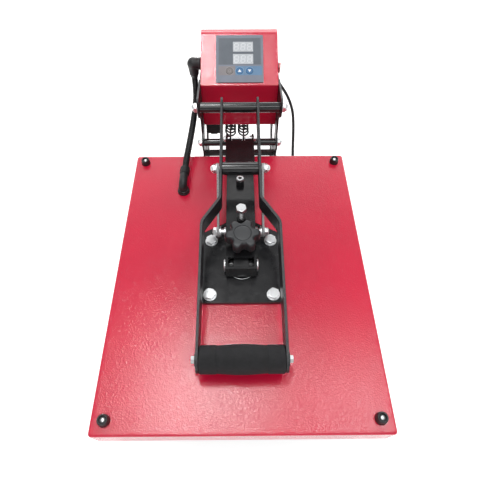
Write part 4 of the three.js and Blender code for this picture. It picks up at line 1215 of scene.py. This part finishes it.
# on and off marks of the rocker
pt = Parts()
base = Matrix.Translation(W(75.2, 377, 121.5)) @ Matrix.Rotation(math.radians(-9), 4, "Z") @ Matrix.Scale(0.001, 4)
for s, kind in ((1, "ring"), (-1, "bar")):
    n2 = Vector((8.6, -2.0 * s, 0)).normalized()   # outward in (x, y)
    u2 = Vector((2.0 * s, 8.6, 0)).normalized()
    c2 = Vector((4.42, 4.5 * s, 0))
    m = Matrix.Identity(4)
    for i in range(3):
        m[i][0], m[i][1], m[i][2], m[i][3] = u2[i], (0, 0, 1)[i], n2[i], c2[i]
    if kind == "ring":
        v, f = washer(1.25, 1.75, -0.1, 0.06, 0.02, 40)
    else:
        v, f = grid_slab([-1.7, 1.7], [-0.28, 0.28], set(), -0.1, 0.06)
    pt.add(v, f, 0, base @ m)
pt.build("rocker_marks", [MARK_WHITE], "rocker", smooth=30)

# rear cover screws and the terminals of the relay
pt = Parts()
for x in (-66, 66):
    for z in (33, 142):
        v, f = lathe([(0, 0), (0, 3.3), (0.5, 3.4), (1.1, 3.0), (1.6, 2.1), (1.75, 1.1), (1.75, 0.9), (0.9, 0.75), (0.8, 0)], 32)
        pt.add(v, f, 0, about("y", x, 451.7, z))
pt.build("rear_cover_screws", [ZINC], "frame")
pt = Parts()
for x in (-36.5, -25.0, -13.5, -2.0):
    for y in (377.5, 424.5):
        v, f = lathe([(0, 0), (0, 3.4), (1.3, 3.4), (1.7, 2.7), (1.7, 0.8), (0.9, 0.7), (0.9, 0)], 28)
        pt.add(v, f, 0, about("z", x, y, 46.8))
pt.build("relay_terminals", [ZINC], "frame")


# ---------------------------------------------------------------- surroundings
def lamp(name, kind, at, target, size, power, color=(1, 1, 1), size_y=None, spread=None):
    ld = bpy.data.lights.new(name, kind)
    ld.energy = power
    ld.color = color
    if kind == "AREA":
        ld.shape = "RECTANGLE" if size_y else "SQUARE"
        ld.size = size
        if size_y:
            ld.size_y = size_y
        if spread:
            ld.spread = math.radians(spread)
    ob = bpy.data.objects.new(name, ld)
    ob.location = at
    ob.rotation_euler = (Vector(target) - Vector(at)).to_track_quat("-Z", "Y").to_euler()
    scene.collection.objects.link(ob)
    return ob


lamp("front_softbox", "AREA", (-0.34, -0.22, 2.05), (-0.31, -0.20, 0.1), 0.60, 3.8, size_y=0.40)
lamp("fill_light", "AREA", (0.0, -1.5, 2.4), (0.0, 0.0, 0.15), 1.2, 9.0, size_y=0.6)
lamp("rear_softbox", "AREA", (-0.36, 0.65, 4.0), (-0.33, 0.6, 0.1), 0.44, 30.0, size_y=0.54)
lamp("side_softbox", "AREA", (0.74, -0.02, 2.05), (0.70, -0.02, 0.1), 0.52, 5.6, size_y=0.44)
lamp("backdrop_panel", "AREA", (0.0, 2.45, 1.36), (0.0, 0.2, 0.2), 2.4, 13.0, size_y=0.45)

world = bpy.data.worlds.new("white_surroundings")
scene.world = world
world.use_nodes = True
wn = world.node_tree
bg = wn.nodes["Background"]
bg.inputs["Strength"].default_value = 1.0
tc = wn.nodes.new("ShaderNodeTexCoord")
sep = wn.nodes.new("ShaderNodeSeparateXYZ")
wn.links.new(tc.outputs["Generated"], sep.inputs[0])
sky = ramp(wn, sep.outputs["Z"], [(0.04, (0.97, 0.97, 0.97)), (0.20, (0.64, 0.64, 0.64)), (0.36, (0.42, 0.42, 0.42)), (0.52, (0.38, 0.38, 0.38)), (0.72, (0.54, 0.54, 0.54)), (1.0, (0.58, 0.58, 0.58))])
wn.links.new(sky, bg.inputs["Color"])

# white bench with a curved rise behind it
FLOOR, nt, b = material("studio_white", (0.86, 0.86, 0.86), 0.7, 0.0, 0.2)
vary(nt, b, (0.80, 0.80, 0.80), 0.01, 2.0)
b.inputs["Emission Color"].default_value = (1, 1, 1, 1)
b.inputs["Emission Strength"].default_value = 0.66
pts = [(-4.0, 0.0)] + [(2.2 + 1.2 * math.sin(math.radians(a)), 1.2 - 1.2 * math.cos(math.radians(a))) for a in range(0, 91, 6)] + [(3.4, 4.0)]
verts, faces = [], []
for x in (-5.0, 5.0):
    verts += [(x, y, z - 0.0001) for y, z in pts]
for i in range(len(pts) - 1):
    faces.append((i, i + 1, len(pts) + i + 1, len(pts) + i))
# the bench goes on to both sides and to the front
k = len(verts)
for x in (-16.0, -5.0, 5.0, 16.0):
    verts += [(x, -16.0, -0.0001), (x, -4.0, -0.0001), (x, 2.2, -0.0001), (x, 16.0, -0.0001)]
faces += [(k + 4 * c + r, k + 4 * c + r + 1, k + 4 * c + r + 5, k + 4 * c + r + 4) for c in range(3) for r in range(3) if c != 1 or r == 0]
me = bpy.data.meshes.new("studio_floor")
me.from_pydata(verts, [], faces)
me.update()
me.materials.append(FLOOR)
me.polygons.foreach_set("use_smooth", [True] * len(me.polygons))
floor = bpy.data.objects.new("studio_floor", me)
scene.collection.objects.link(floor)

scene.view_settings.view_transform = "Standard"
scene.view_settings.look = "None"
scene.view_settings.exposure = 0.0
scene.view_settings.gamma = 1.0
